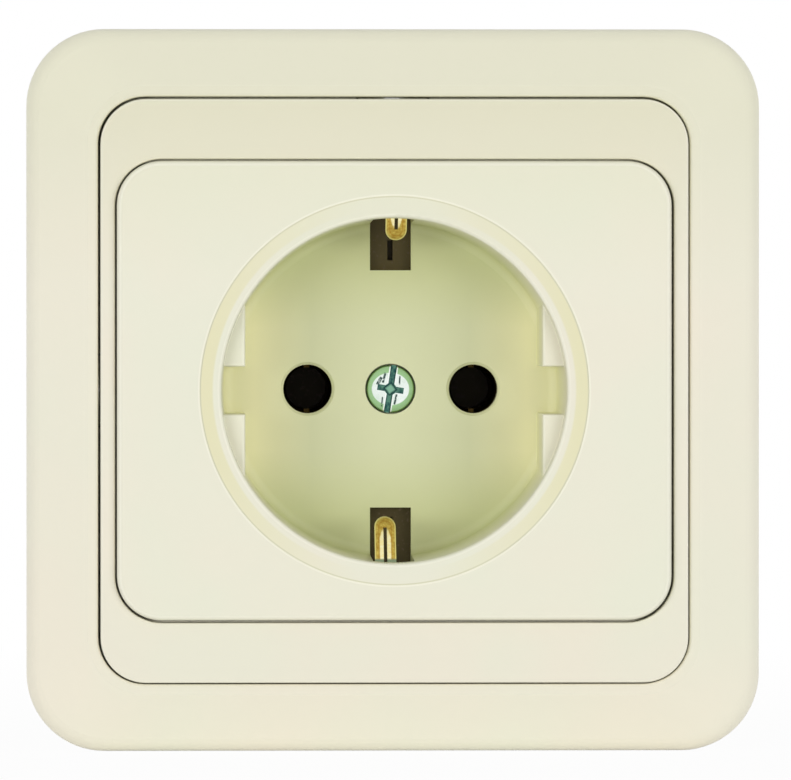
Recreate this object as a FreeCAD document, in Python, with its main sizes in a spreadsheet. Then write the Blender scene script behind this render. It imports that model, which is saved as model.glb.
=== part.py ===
import FreeCAD, Part

# A flush-mounted type f wall socket: a central moulding with the plug recess, the bezel and
# the outer frame round it, the steel support bracket that is screwed to the wall box, and the
# insulating base with its contacts and terminals in the box.
# +X is right and +Z is up. The wall is the plane y = 0 and the face looks along -Y. The origin
# is the centre of the four slots for the box screws, on the wall. Sizes are millimetres.

import math
import os

import Sketcher
from FreeCAD import Placement, Rotation, Vector

doc = FreeCAD.newDocument("wall_socket")
sheet = doc.addObject("Spreadsheet::Sheet", "dims")

# Driving sizes: alias, millimetres (degrees for a turn), meaning. A size that ends in _front
# is how far a face stands out from the wall.
SIZES = (
    ("plate_width", 62.6, "centre plate, left to right"),
    ("plate_height", 51.8, "centre plate, bottom to top"),
    ("plate_corner", 5.0, "corner radius of the centre plate"),
    ("plate_front", 11.0, "face of the centre plate"),
    ("plate_wall", 1.8, "wall of the centre plate and its skirt"),
    ("plate_edge_round", 0.7, "rounding of the plate's front edge"),
    ("plate_gap", 0.26, "gap between the plate and the bezel"),
    ("cup_radius", 19.5, "plug recess at its mouth"),
    ("cup_taper", 0.35, "how much narrower the recess is at its floor"),
    ("cup_depth", 17.5, "plug recess from its lip to its floor"),
    ("cup_wall", 1.7, "wall of the recess"),
    ("cup_floor", 2.2, "floor of the recess"),
    ("cup_floor_round", 1.1, "rounding between wall and floor"),
    ("ring_width", 2.5, "shallow bevelled ring round the recess"),
    ("ring_step", 0.12, "small step at the ring's outer edge"),
    ("ring_dip", 0.6, "how far the ring falls to the lip"),
    ("lip_round", 0.6, "rounding of the lip"),
    ("guide_inset", 2.7, "guide flats, from the recess wall inwards"),
    ("guide_drop", 2.2, "guide flats start this far behind the lip"),
    ("guide_round", 0.35, "rounded edges of the guide flats"),
    ("keyway", 5.4, "notch between the two guide flats of a side"),
    ("window_width", 4.7, "window for an earthing contact"),
    ("window_reach", 5.9, "window, from the recess wall inwards"),
    ("window_drop", 2.4, "window in the wall starts this far behind the lip"),
    ("slit_width", 0.6, "slit in the base, seen through a window"),
    ("slit_length", 2.3, "length of that slit"),
    ("slit_place", 3.6, "middle of that slit, from the recess wall inwards"),
    ("gusset", 1.2, "stiffening gussets and ribs"),
    ("gusset_place", 8.0, "gussets beside the recess, from its centre line"),
    ("pin_pitch", 19.0, "between the two pin holes"),
    ("pin_hole", 2.8, "radius of a pin hole"),
    ("pin_bevel", 0.3, "bevel of a pin hole"),
    ("screw_head", 2.75, "radius of the cover screw's head"),
    ("screw_head_rise", 1.2, "side wall of the cover screw's head"),
    ("screw_dome", 0.6, "dome of the cover screw's head"),
    ("screw_shank", 1.5, "radius of the cover screw's shank"),
    ("screw_reach", 9.6, "shank of the cover screw"),
    ("screw_slot", 0.8, "slot and cross recess width"),
    ("screw_slot_depth", 0.9, "slot and cross recess depth"),
    ("screw_cross", 2.9, "length of the cross recess"),
    ("screw_play", 0.15, "radial play round screws and rivets"),
    ("screw_seat", 1.5, "depth of the seat of the cover screw"),
    ("screw_turn", 9.0, "how far the cover screw's slot is turned"),
    ("bezel_side", 1.65, "bezel band left and right"),
    ("bezel_end", 6.8, "bezel band at top and bottom"),
    ("bezel_corner", 5.1, "outer corner radius of the bezel"),
    ("bezel_front", 9.7, "face of the bezel"),
    ("bezel_wall", 1.3, "walls of the bezel"),
    ("bezel_edge_round", 0.3, "rounding of the bezel's front edges"),
    ("bezel_gap", 0.22, "gap between the bezel and the frame"),
    ("bezel_shift", 0.05, "bezel's play in the frame, taken up to the right and down"),
    ("plate_seat", 6.4, "ledge that carries the plate's skirt"),
    ("plate_ledge", 1.9, "how far that ledge reaches in"),
    ("bezel_seat", 3.2, "ledge that carries the bezel"),
    ("bezel_ledge", 2.4, "how far that ledge reaches in"),
    ("frame_side", 8.15, "frame band left and right"),
    ("frame_end", 7.75, "frame band at top and bottom"),
    ("frame_corner", 8.8, "outer corner radius of the frame"),
    ("frame_edge_front", 5.8, "side wall of the frame"),
    ("frame_front", 9.0, "face of the frame beside the bezel"),
    ("frame_land", 1.2, "level land beside the bezel"),
    ("frame_lip_round", 0.3, "rounded edge of the frame beside the bezel"),
    ("frame_round", 2.6, "rounding of the frame's outer edge"),
    ("frame_wall", 1.8, "walls of the frame"),
    ("frame_rib_place", 17.0, "stiffening ribs, from the centre"),
    ("bracket_side", 4.28, "bracket to the frame's wall, left and right"),
    ("bracket_end", 3.63, "bracket to the frame's wall, above and below"),
    ("bracket_corner", 4.0, "corner radius of the bracket"),
    ("bracket_sheet", 1.2, "thickness of the bracket"),
    ("bracket_play", 0.2, "bracket to the frame's ledge"),
    ("bracket_clear", 0.7, "bracket opening round the recess"),
    ("box_pitch", 60.0, "between opposite box screws"),
    ("box_slot", 1.9, "half width of a box screw slot"),
    ("box_slot_run", 3.0, "straight part of a box screw slot"),
    ("box_head", 4.2, "room for a box screw's head, from its axis"),
    ("notch_width", 6.0, "notches in the bracket's edges"),
    ("notch_depth", 1.6, "depth of those notches"),
    ("notch_place", 20.0, "notches, from the centre"),
    ("rivet_shank", 1.5, "radius of a rivet"),
    ("rivet_head", 2.6, "radius of a rivet's head"),
    ("rivet_head_rise", 0.8, "height of a rivet's head"),
    ("pillar", 3.2, "radius of a pillar of the base"),
    ("pillar_clear", 0.6, "pillar to the recess wall"),
    ("pillar_foot", 4.5, "flange behind a pillar"),
    ("base_gap", 0.2, "recess floor to the base"),
    ("base_margin", 1.3, "base beyond the recess wall"),
    ("base_corner", 12.0, "corner radius of the base"),
    ("base_depth", 18.5, "base, front to rear"),
    ("base_skin", 2.0, "front wall of the base"),
    ("lid_sheet", 1.8, "rear lid of the base"),
    ("lid_inset", 0.3, "rear lid inside the base's outline"),
    ("strip_sheet", 1.0, "brass strip of the contacts"),
    ("strip_depth", 8.1, "strips behind the front of the base"),
    ("strip_play", 0.2, "strips in their chambers"),
    ("sleeve_bore", 2.4, "radius inside a contact sleeve"),
    ("sleeve_wall", 0.6, "wall of a contact sleeve"),
    ("sleeve_rear", 1.5, "sleeve to the lid"),
    ("sleeve_lead", 4.0, "front of the base to the sleeve"),
    ("sleeve_flare", 0.5, "how much wider a sleeve is at its mouth"),
    ("sleeve_slit", 0.7, "slits between the leaves of a sleeve"),
    ("spring_wall", 0.4, "steel spring round a sleeve"),
    ("spring_width", 2.0, "width of that spring"),
    ("spring_place", 1.2, "spring behind the sleeve's mouth"),
    ("terminal_x", 13.0, "line terminals, sideways from the centre"),
    ("terminal_z", 9.0, "line terminals, above or below the centre"),
    ("earth_z", 9.4, "earth terminal below the centre"),
    ("clamp_size", 9.0, "clamp plate, each way"),
    ("clamp_sheet", 1.5, "clamp plate"),
    ("clamp_open", 3.3, "room for a conductor under a clamp plate"),
    ("clamp_corner", 0.6, "corner radius of a clamp plate"),
    ("terminal_shank", 1.5, "radius of a terminal screw"),
    ("terminal_head", 2.7, "radius of a terminal screw's head"),
    ("terminal_head_rise", 1.45, "side wall of a terminal screw's head"),
    ("terminal_dome", 0.45, "dome of a terminal screw's head"),
    ("terminal_tail", 1.4, "terminal screw past its clamp plate"),
    ("wire_hole", 1.5, "radius of a conductor entry"),
    ("wire_place", 3.15, "conductor entries beside the terminal screw"),
    ("nut_flats", 5.5, "captive nut across its flats"),
    ("nut_height", 4.0, "captive nut"),
    ("wire_skin", 0.25, "between the earthing strip and its conductor entries"),
    ("earth_strip", 4.4, "width of the earthing strip"),
    ("earth_hub", 6.8, "width of the earthing strip round the cover screw"),
    ("finger_width", 2.4, "width of an earthing finger"),
    ("finger_sheet", 0.8, "thickness of an earthing finger"),
    ("top_shift", 0.3, "top finger to the right of the centre line"),
    ("bottom_shift", 0.9, "bottom finger to the left of the centre line"),
    ("finger_stand", 0.9, "finger's upright behind the recess wall"),
    ("finger_drop", 3.2, "fingers start this far behind the lip"),
    ("finger_bend", 1.0, "outer radius of a finger's bends"),
    ("finger_inner_bend", 0.15, "inner radius of the bend at the upright"),
    ("top_reach", 2.5, "top finger, from the recess wall inwards"),
    ("bottom_reach", 5.1, "bottom finger, from the recess wall inwards"),
    ("finger_fall", 0.8, "slope of a finger's tongue"),
    ("finger_slit", 0.4, "slit along the tongue"),
    ("finger_nose", 1.2, "tongue in front of its slit"),
    ("finger_nose_flat", 0.08, "flat that is left at the tip between its rounded corners"),
    ("lid_screw_side", 4.7, "lid screws, sideways from the rivets to the middle"),
    ("lid_screw_level", 5.2, "lid screws, up or down from the rivets to the middle"),
    ("lid_screw_shank", 1.1, "radius of a lid screw"),
    ("lid_screw_head", 2.2, "radius of its head"),
    ("lid_screw_rise", 1.1, "height of its head"),
    ("lid_screw_slot", 0.65, "depth of its slot"),
    ("lid_screw_reach", 8.0, "lid screw in the base"),
    ("lid_post", 1.4, "radius of the lid's posts"),
    ("lid_post_clear", 0.4, "those posts to the springs of the sleeves"),
)


class Size:
    """A length that knows its number and the sheet formula that drives it."""

    def __init__(self, number, formula):
        self.number = number
        self.formula = formula

    def join(self, sign, first, second, number):
        return Size(number, "(%s %s %s)" % (first.formula, sign, second.formula))

    def __add__(self, other):
        other = as_size(other)
        return self.join("+", self, other, self.number + other.number)

    def __sub__(self, other):
        other = as_size(other)
        return self.join("-", self, other, self.number - other.number)

    def __mul__(self, other):
        other = as_size(other)
        return self.join("*", self, other, self.number * other.number)

    def __truediv__(self, other):
        other = as_size(other)
        return self.join("/", self, other, self.number / other.number)

    def __neg__(self):
        return as_size(0.0) - self

    def __rmul__(self, other):
        return self * other


def as_size(value):
    """The value itself, or a plain number as a Size."""
    if isinstance(value, Size):
        return value
    return Size(float(value), "(%s)" % repr(float(value)))


def root(value):
    """Square root of a Size."""
    return Size(math.sqrt(value.number), "sqrt(%s)" % value.formula)


class Dimensions:
    """Holds each size of the sheet under its alias."""


d = Dimensions()
for row, (alias, number, meaning) in enumerate(SIZES, start=1):
    sheet.set("A%d" % row, alias)
    sheet.set("B%d" % row, str(number))
    sheet.set("C%d" % row, meaning)
    sheet.setAlias("B%d" % row, alias)
    setattr(d, alias, Size(float(number), "dims.%s" % alias))
doc.recompute()

# Margins of the construction: how far a cut runs on into the air and how far a rib runs into
# the wall that carries it. The next are shares of a head's radius or height, which shape the
# domes of screws and rivets. The last two give the slope of a sleeve's flared mouth, in degrees,
# and the depth of its cutter against its width.
NOTHING = as_size(0.0)
CUT_MARGIN = as_size(1.0)
COS_DIAGONAL = math.sqrt(0.5)
WELD = as_size(0.3)
DOME_FLAT = 0.45
DOME_SHOULDER = 0.85
DOME_SHOULDER_RISE = 0.55
RIVET_TOP = 0.6
RIVET_TAIL = 0.85
RIVET_TAIL_TOP = 0.7
LID_HEAD_TOP = 0.8
FLARE_ANGLE = 24.0
FLARE_DEPTH = 2.6


def bind(target, name, size):
    """Ties a property of an object to its sheet formula."""
    target.setExpression(name, as_size(size).formula)


def new_body(label, x=0.0, y=0.0, z=0.0, turn=0.0):
    """A body that stands at x, y, z, turned about the Y axis by so many degrees."""
    body = doc.addObject("PartDesign::Body", label)
    body.Label = label
    body.Placement = Placement(Vector(0, 0, 0), Rotation(Vector(0, 1, 0), as_size(turn).number))
    bind(body, "Placement.Base.x", x)
    bind(body, "Placement.Base.y", y)
    bind(body, "Placement.Base.z", z)
    return body


def new_sketch(body, plane, place=NOTHING):
    """A sketch on one of the body's own planes: its place is x, y or z of that plane."""
    sketch = body.newObject("Sketcher::SketchObject", body.Name + "_sketch")
    support = [feature for feature in body.Origin.OriginFeatures if feature.Role == plane][0]
    sketch.AttachmentSupport = [(support, "")]
    sketch.MapMode = "FlatFace"
    bind(sketch, "AttachmentOffset.Base.z", -as_size(place) if plane == "XZ_Plane" else place)
    return sketch


def face_sketch(body, y):
    """A sketch parallel to the wall, seen from the front with X to the right and Z up."""
    return new_sketch(body, "XZ_Plane", y)


def fix_point(sketch, geometry, vertex, x, y):
    """Holds one vertex of a sketch at x, y."""
    x, y = as_size(x), as_size(y)
    for kind, size in (("DistanceX", x), ("DistanceY", y)):
        number = sketch.addConstraint(Sketcher.Constraint(kind, -1, 1, geometry, vertex, size.number))
        bind(sketch, "Constraints[%d]" % number, size)


def fix_radius(sketch, geometry, radius):
    """Holds the radius of a circle or an arc."""
    radius = as_size(radius)
    number = sketch.addConstraint(Sketcher.Constraint("Radius", geometry, radius.number))
    bind(sketch, "Constraints[%d]" % number, radius)


def circle(sketch, x, y, radius):
    """A full circle."""
    x, y, radius = as_size(x), as_size(y), as_size(radius)
    centre = Vector(x.number, y.number, 0)
    geometry = sketch.addGeometry(Part.Circle(centre, Vector(0, 0, 1), radius.number))
    fix_point(sketch, geometry, 3, x, y)
    fix_radius(sketch, geometry, radius)


def outline(sketch, corners):
    """A closed polygon: each corner is x, y and, where it is rounded, its radius."""
    count = len(corners)
    points = [(as_size(corner[0]), as_size(corner[1])) for corner in corners]
    radii = [as_size(corner[2]) if len(corner) > 2 else None for corner in corners]
    spots = [Vector(x.number, y.number, 0) for x, y in points]
    trims = []
    for index, spot in enumerate(spots):
        back = (spots[index - 1] - spot).normalize()
        ahead = (spots[(index + 1) % count] - spot).normalize()
        if radii[index] is None:
            trims.append((spot, spot, None))
            continue
        half = back.getAngle(ahead) / 2
        run = radii[index].number / math.tan(half)
        middle = (back + ahead).normalize() * (radii[index].number / math.sin(half))
        turns_left = (back.cross(ahead)).z < 0
        trims.append((spot + back * run, spot + ahead * run, (spot + middle, turns_left)))
    lines = []
    for index in range(count):
        first = trims[index][1]
        last = trims[(index + 1) % count][0]
        lines.append(sketch.addGeometry(Part.LineSegment(first, last)))
    for index, (start, end, bend) in enumerate(trims):
        before, after = lines[index - 1], lines[index]
        if bend is None:
            sketch.addConstraint(Sketcher.Constraint("Coincident", before, 2, after, 1))
            fix_point(sketch, after, 1, *points[index])
            continue
        centre, turns_left = bend
        low, high = (start, end) if turns_left else (end, start)
        angles = [math.atan2(p.y - centre.y, p.x - centre.x) for p in (low, high)]
        ring = Part.Circle(centre, Vector(0, 0, 1), radii[index].number)
        arc = sketch.addGeometry(Part.ArcOfCircle(ring, angles[0], angles[1]))
        begin, finish = (1, 2) if turns_left else (2, 1)
        sketch.addConstraint(Sketcher.Constraint("Tangent", before, 2, arc, begin))
        sketch.addConstraint(Sketcher.Constraint("Tangent", arc, finish, after, 1))
        fix_radius(sketch, arc, radii[index])
        corner = sketch.addGeometry(Part.Point(spots[index]), True)
        sketch.addConstraint(Sketcher.Constraint("PointOnObject", corner, 1, before))
        sketch.addConstraint(Sketcher.Constraint("PointOnObject", corner, 1, after))
        fix_point(sketch, corner, 1, *points[index])


def rectangle(sketch, x, y, width, height, radius=None):
    """A rectangle round x, y, with rounded corners if a radius is given."""
    x, y = as_size(x), as_size(y)
    half_width, half_height = as_size(width) / 2, as_size(height) / 2
    end = () if radius is None else (radius,)
    outline(sketch, [
        (x - half_width, y - half_height) + end,
        (x + half_width, y - half_height) + end,
        (x + half_width, y + half_height) + end,
        (x - half_width, y + half_height) + end,
    ])


def slot(sketch, x, y, run, radius, along_x):
    """A slot with round ends: its straight part is centred at x, y."""
    x, y, run, radius = as_size(x), as_size(y), as_size(run), as_size(radius)
    step = (run / 2, NOTHING) if along_x else (NOTHING, run / 2)
    ends = [(x + step[0], y + step[1]), (x - step[0], y - step[1])]
    turn = 0.0 if along_x else math.pi / 2
    arcs = []
    for index, (end_x, end_y) in enumerate(ends):
        start = turn - math.pi / 2 + index * math.pi
        ring = Part.Circle(Vector(end_x.number, end_y.number, 0), Vector(0, 0, 1), radius.number)
        arcs.append(sketch.addGeometry(Part.ArcOfCircle(ring, start, start + math.pi)))
    lines = []
    for first, second in ((0, 1), (1, 0)):
        start = sketch.getPoint(arcs[first], 2)
        end = sketch.getPoint(arcs[second], 1)
        lines.append(sketch.addGeometry(Part.LineSegment(start, end)))
    for line, first, second in ((lines[0], 0, 1), (lines[1], 1, 0)):
        sketch.addConstraint(Sketcher.Constraint("Tangent", arcs[first], 2, line, 1))
        sketch.addConstraint(Sketcher.Constraint("Tangent", line, 2, arcs[second], 1))
    sketch.addConstraint(Sketcher.Constraint("Equal", arcs[0], arcs[1]))
    fix_radius(sketch, arcs[0], radius)
    for arc, (end_x, end_y) in zip(arcs, ends):
        fix_point(sketch, arc, 3, end_x, end_y)


def pad(body, sketch, length, to_rear=True, middle=False):
    """Adds the sketch as a block, towards the wall box or towards the room."""
    feature = body.newObject("PartDesign::Pad", body.Name + "_pad")
    feature.Profile = sketch
    feature.Reversed = to_rear and not middle
    feature.Midplane = middle
    bind(feature, "Length", length)
    return feature


def pocket(body, sketch, length, to_rear=True, middle=False):
    """Cuts the sketch away, against its plane's normal (to the rear) or along it."""
    feature = body.newObject("PartDesign::Pocket", body.Name + "_pocket")
    feature.Profile = sketch
    feature.Reversed = not to_rear and not middle
    feature.Midplane = middle
    bind(feature, "Length", length)
    return feature


def turned(body, sketch, kind="PartDesign::Revolution"):
    """Adds or cuts the sketch turned once round the body's Y axis."""
    feature = body.newObject(kind, body.Name + "_turned")
    feature.Profile = sketch
    feature.ReferenceAxis = (sketch, ["V_Axis"])
    feature.Angle = 360
    return feature


def edge_names(shape, wanted):
    """Names of the edges for which wanted(edge) is true."""
    return ["Edge%d" % index for index, edge in enumerate(shape.Edges, start=1) if wanted(edge)]


def round_edges(body, wanted, radius, kind="PartDesign::Fillet"):
    """Rounds or bevels the chosen edges of what the body has so far."""
    doc.recompute()
    tip = body.Tip
    feature = body.newObject(kind, body.Name + "_edges")
    feature.Base = (tip, edge_names(tip.Shape, wanted))
    bind(feature, "Radius" if kind == "PartDesign::Fillet" else "Size", radius)
    return feature


def level(edge, y):
    """True where the whole edge lies at one distance from the wall."""
    box = edge.BoundBox
    return abs(box.YMin - y.number) < 1e-4 and abs(box.YMax - y.number) < 1e-4


def group(label, bodies):
    """Like pieces that share one node."""
    compound = doc.addObject("Part::Compound", label)
    compound.Label = label
    compound.Links = bodies
    return compound


# Places that more than one piece uses. Y grows towards the rear of the wall box.
FRONT_OF_PLATE = -d.plate_front
LIP = -(d.plate_front - d.ring_dip)
CUP_FLOOR = LIP + d.cup_depth
CUP_REAR = CUP_FLOOR + d.cup_floor
CUP_OUTSIDE = d.cup_radius + d.cup_wall
RING_RADIUS = d.cup_radius + d.ring_width
GUIDE = d.cup_radius - d.guide_inset
PLATE_BACK = -(d.plate_front - d.plate_wall)
BEZEL_FACE = -d.bezel_front
PLATE_SEAT = -d.plate_seat
BEZEL_SEAT = -d.bezel_seat
WINDOW_WIDE = d.plate_width + 2 * d.plate_gap
WINDOW_HIGH = d.plate_height + 2 * d.plate_gap
BEZEL_WIDE = WINDOW_WIDE + 2 * d.bezel_side
BEZEL_HIGH = WINDOW_HIGH + 2 * d.bezel_end
OPENING_WIDE = BEZEL_WIDE + 2 * d.bezel_gap
OPENING_HIGH = BEZEL_HIGH + 2 * d.bezel_gap
OPENING_CORNER = d.bezel_corner + d.bezel_gap
FRAME_WIDE = OPENING_WIDE + 2 * d.frame_side
FRAME_HIGH = OPENING_HIGH + 2 * d.frame_end
FRAME_INSIDE_WIDE = FRAME_WIDE - 2 * d.frame_wall
FRAME_INSIDE_HIGH = FRAME_HIGH - 2 * d.frame_wall
BRACKET_WIDE = FRAME_INSIDE_WIDE - 2 * d.bracket_side
BRACKET_HIGH = FRAME_INSIDE_HIGH - 2 * d.bracket_end
BRACKET_FACE = -d.bracket_sheet
BRACKET_OPENING = CUP_OUTSIDE + d.bracket_clear
BASE_FRONT = CUP_REAR + d.base_gap
BASE_REAR = BASE_FRONT + d.base_depth
BASE_HALF = CUP_OUTSIDE + d.base_margin
STRIP = BASE_FRONT + d.strip_depth
STRIP_BACK = STRIP + d.strip_sheet
CLAMP = STRIP_BACK + d.clamp_open
RIVET_PLACE = (CUP_OUTSIDE + d.pillar_clear + d.pillar) * COS_DIAGONAL
CORNERS = ((1, 1), (-1, 1), (-1, -1), (1, -1))
LID_SCREW_X = RIVET_PLACE - d.lid_screw_side
LID_SCREW_Z = RIVET_PLACE - d.lid_screw_level
PIN_PLACE = d.pin_pitch / 2
SLEEVE_OUTSIDE = d.sleeve_bore + d.sleeve_wall
SLEEVE_FRONT = BASE_FRONT + d.sleeve_lead
SLEEVE_LENGTH = d.base_depth - d.sleeve_lead - d.sleeve_rear
UPRIGHT_IN = d.cup_radius + d.finger_stand
UPRIGHT_OUT = UPRIGHT_IN + d.finger_sheet
CLAMP_HALF = d.clamp_size / 2
EARTH_WIRE = d.earth_strip / 2 + d.strip_play + d.wire_skin + d.wire_hole
EARTH_ROOM = EARTH_WIRE + d.wire_hole
FINGERS = ((1, d.top_shift), (-1, -d.bottom_shift))
POST_PLACE = PIN_PLACE + SLEEVE_OUTSIDE + d.spring_wall + d.lid_post_clear + d.lid_post


def outer_frame():
    """Hollow thermoplastic frame with a sloping face and a ledge that carries the bezel."""
    body = new_body("outer_frame")
    wall = face_sketch(body, -d.frame_edge_front)
    rectangle(wall, 0, 0, FRAME_WIDE, FRAME_HIGH, d.frame_corner)
    pad(body, wall, d.frame_edge_front)
    low = face_sketch(body, -d.frame_edge_front)
    rectangle(low, 0, 0, FRAME_WIDE, FRAME_HIGH, d.frame_corner)
    high = face_sketch(body, -d.frame_front)
    rectangle(high, 0, 0, OPENING_WIDE + 2 * d.frame_land, OPENING_HIGH + 2 * d.frame_land,
              OPENING_CORNER + d.frame_land)
    slope = body.newObject("PartDesign::AdditiveLoft", "outer_frame_slope")
    slope.Profile = low
    slope.Sections = [high]
    slope.Ruled = True
    round_edges(body, lambda edge: level(edge, -d.frame_edge_front), d.frame_round)

    opening = face_sketch(body, -d.frame_front)
    rectangle(opening, 0, 0, OPENING_WIDE, OPENING_HIGH, OPENING_CORNER)
    pocket(body, opening, d.frame_front - d.bezel_seat)

    def opening_edge(edge):
        box = edge.BoundBox
        limit = OPENING_WIDE.number / 2 + 1e-4
        return level(edge, -d.frame_front) and box.XMin > -limit and box.XMax < limit

    round_edges(body, opening_edge, d.frame_lip_round)
    through = face_sketch(body, BEZEL_SEAT)
    rectangle(through, 0, 0, OPENING_WIDE - 2 * d.bezel_ledge, OPENING_HIGH - 2 * d.bezel_ledge,
              OPENING_CORNER)
    pocket(body, through, d.bezel_seat)
    heads = face_sketch(body, BEZEL_SEAT)
    reach = OPENING_WIDE / 2 - d.box_pitch / 2 + d.box_head
    for side in (1, -1):
        middle = side * (d.box_pitch / 2 + OPENING_WIDE / 2 - d.box_head) / 2
        rectangle(heads, middle, 0, reach, 2 * d.box_head)
    high_reach = OPENING_HIGH / 2 - d.box_pitch / 2 + d.box_head
    for side in (1, -1):
        middle = side * (d.box_pitch / 2 + OPENING_HIGH / 2 - d.box_head) / 2
        rectangle(heads, 0, middle, 2 * d.box_head, high_reach)
    pocket(body, heads, d.bezel_seat)

    lift = d.bracket_sheet + d.bracket_play
    inside_corner = d.frame_corner - d.frame_wall
    recess = face_sketch(body, 0)
    rectangle(recess, 0, 0, FRAME_INSIDE_WIDE, FRAME_INSIDE_HIGH, inside_corner)
    pocket(body, recess, lift, to_rear=False)
    roof = d.frame_edge_front - d.frame_wall
    hollow = face_sketch(body, 0)
    rectangle(hollow, 0, 0, FRAME_INSIDE_WIDE, FRAME_INSIDE_HIGH, inside_corner)
    rectangle(hollow, 0, 0, OPENING_WIDE + 2 * d.frame_wall, OPENING_HIGH + 2 * d.frame_wall,
              OPENING_CORNER + d.frame_wall)
    pocket(body, hollow, roof, to_rear=False)

    ribs = face_sketch(body, -roof - WELD)
    rib_long = d.frame_side - d.frame_wall
    rib_high = d.frame_end - d.frame_wall
    for side in (1, -1):
        for place in (1, -1):
            rectangle(ribs, side * (OPENING_WIDE / 2 + d.frame_side / 2), place * d.frame_rib_place,
                      rib_long, d.gusset)
            rectangle(ribs, place * d.frame_rib_place, side * (OPENING_HIGH / 2 + d.frame_end / 2),
                      d.gusset, rib_high)
    pad(body, ribs, roof + WELD - lift)
    return body


def inner_bezel():
    """Bezel between frame and plate: wide bands above and below, with a ledge for the plate."""
    body = new_body("inner_bezel", d.bezel_shift, 0, -d.bezel_shift)
    block = face_sketch(body, BEZEL_FACE)
    rectangle(block, 0, 0, BEZEL_WIDE, BEZEL_HIGH, d.bezel_corner)
    pad(body, block, d.bezel_front - d.bezel_seat)
    window = face_sketch(body, BEZEL_FACE)
    rectangle(window, 0, 0, WINDOW_WIDE, WINDOW_HIGH, d.plate_corner + d.plate_gap)
    pocket(body, window, d.bezel_front - d.plate_seat)
    round_edges(body, lambda edge: level(edge, BEZEL_FACE), d.bezel_edge_round)
    through = face_sketch(body, PLATE_SEAT)
    rectangle(through, 0, 0, WINDOW_WIDE - 2 * d.plate_ledge, WINDOW_HIGH - 2 * d.plate_ledge,
              d.plate_corner)
    pocket(body, through, d.plate_seat - d.bezel_seat + CUT_MARGIN)
    behind = face_sketch(body, BEZEL_SEAT)
    rectangle(behind, 0, 0, WINDOW_WIDE, WINDOW_HIGH, d.plate_corner + d.plate_gap)
    pocket(body, behind, d.plate_seat - d.bezel_seat - d.bezel_wall, to_rear=False)
    bands = face_sketch(body, BEZEL_SEAT)
    band_high = d.bezel_end - 2 * d.bezel_wall
    for side in (1, -1):
        middle = side * (WINDOW_HIGH / 2 + d.bezel_end / 2)
        rectangle(bands, 0, middle, BEZEL_WIDE - 2 * d.bezel_corner, band_high)
    pocket(body, bands, d.bezel_front - d.bezel_seat - d.bezel_wall, to_rear=False)
    ribs = face_sketch(body, -(d.bezel_front - d.bezel_wall))
    for side in (1, -1):
        for place in (1, 0, -1):
            middle = side * (WINDOW_HIGH / 2 + d.bezel_end / 2)
            rectangle(ribs, place * d.frame_rib_place, middle, d.gusset, band_high)
    pad(body, ribs, d.bezel_front - d.bezel_seat - 2 * d.bezel_wall)
    return body


def guide_flats(sketch):
    """Four circular segments, one each side of the two keyways."""
    outer = d.cup_radius + d.cup_wall / 2
    low = d.keyway / 2
    for side_x, side_z in CORNERS:
        far_x = root(outer * outer - low * low)
        top_z = root(outer * outer - GUIDE * GUIDE)
        start = Vector(side_x * far_x.number, side_z * low.number, 0)
        end = Vector(side_x * GUIDE.number, side_z * top_z.number, 0)
        corner = Vector(side_x * GUIDE.number, side_z * low.number, 0)
        angles = sorted(math.atan2(p.y, p.x) % math.tau for p in (start, end))
        ring = Part.Circle(Vector(0, 0, 0), Vector(0, 0, 1), outer.number)
        arc = sketch.addGeometry(Part.ArcOfCircle(ring, angles[0], angles[1]))
        shelf = sketch.addGeometry(Part.LineSegment(corner, start))
        flat = sketch.addGeometry(Part.LineSegment(corner, end))
        from_start = 1 if side_x * side_z > 0 else 2
        sketch.addConstraint(Sketcher.Constraint("Coincident", shelf, 1, flat, 1))
        sketch.addConstraint(Sketcher.Constraint("Coincident", shelf, 2, arc, from_start))
        sketch.addConstraint(Sketcher.Constraint("Coincident", flat, 2, arc, 3 - from_start))
        sketch.addConstraint(Sketcher.Constraint("Coincident", arc, 3, -1, 1))
        sketch.addConstraint(Sketcher.Constraint("Horizontal", shelf))
        sketch.addConstraint(Sketcher.Constraint("Vertical", flat))
        fix_radius(sketch, arc, outer)
        fix_point(sketch, shelf, 1, side_x * GUIDE, side_z * low)


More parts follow.
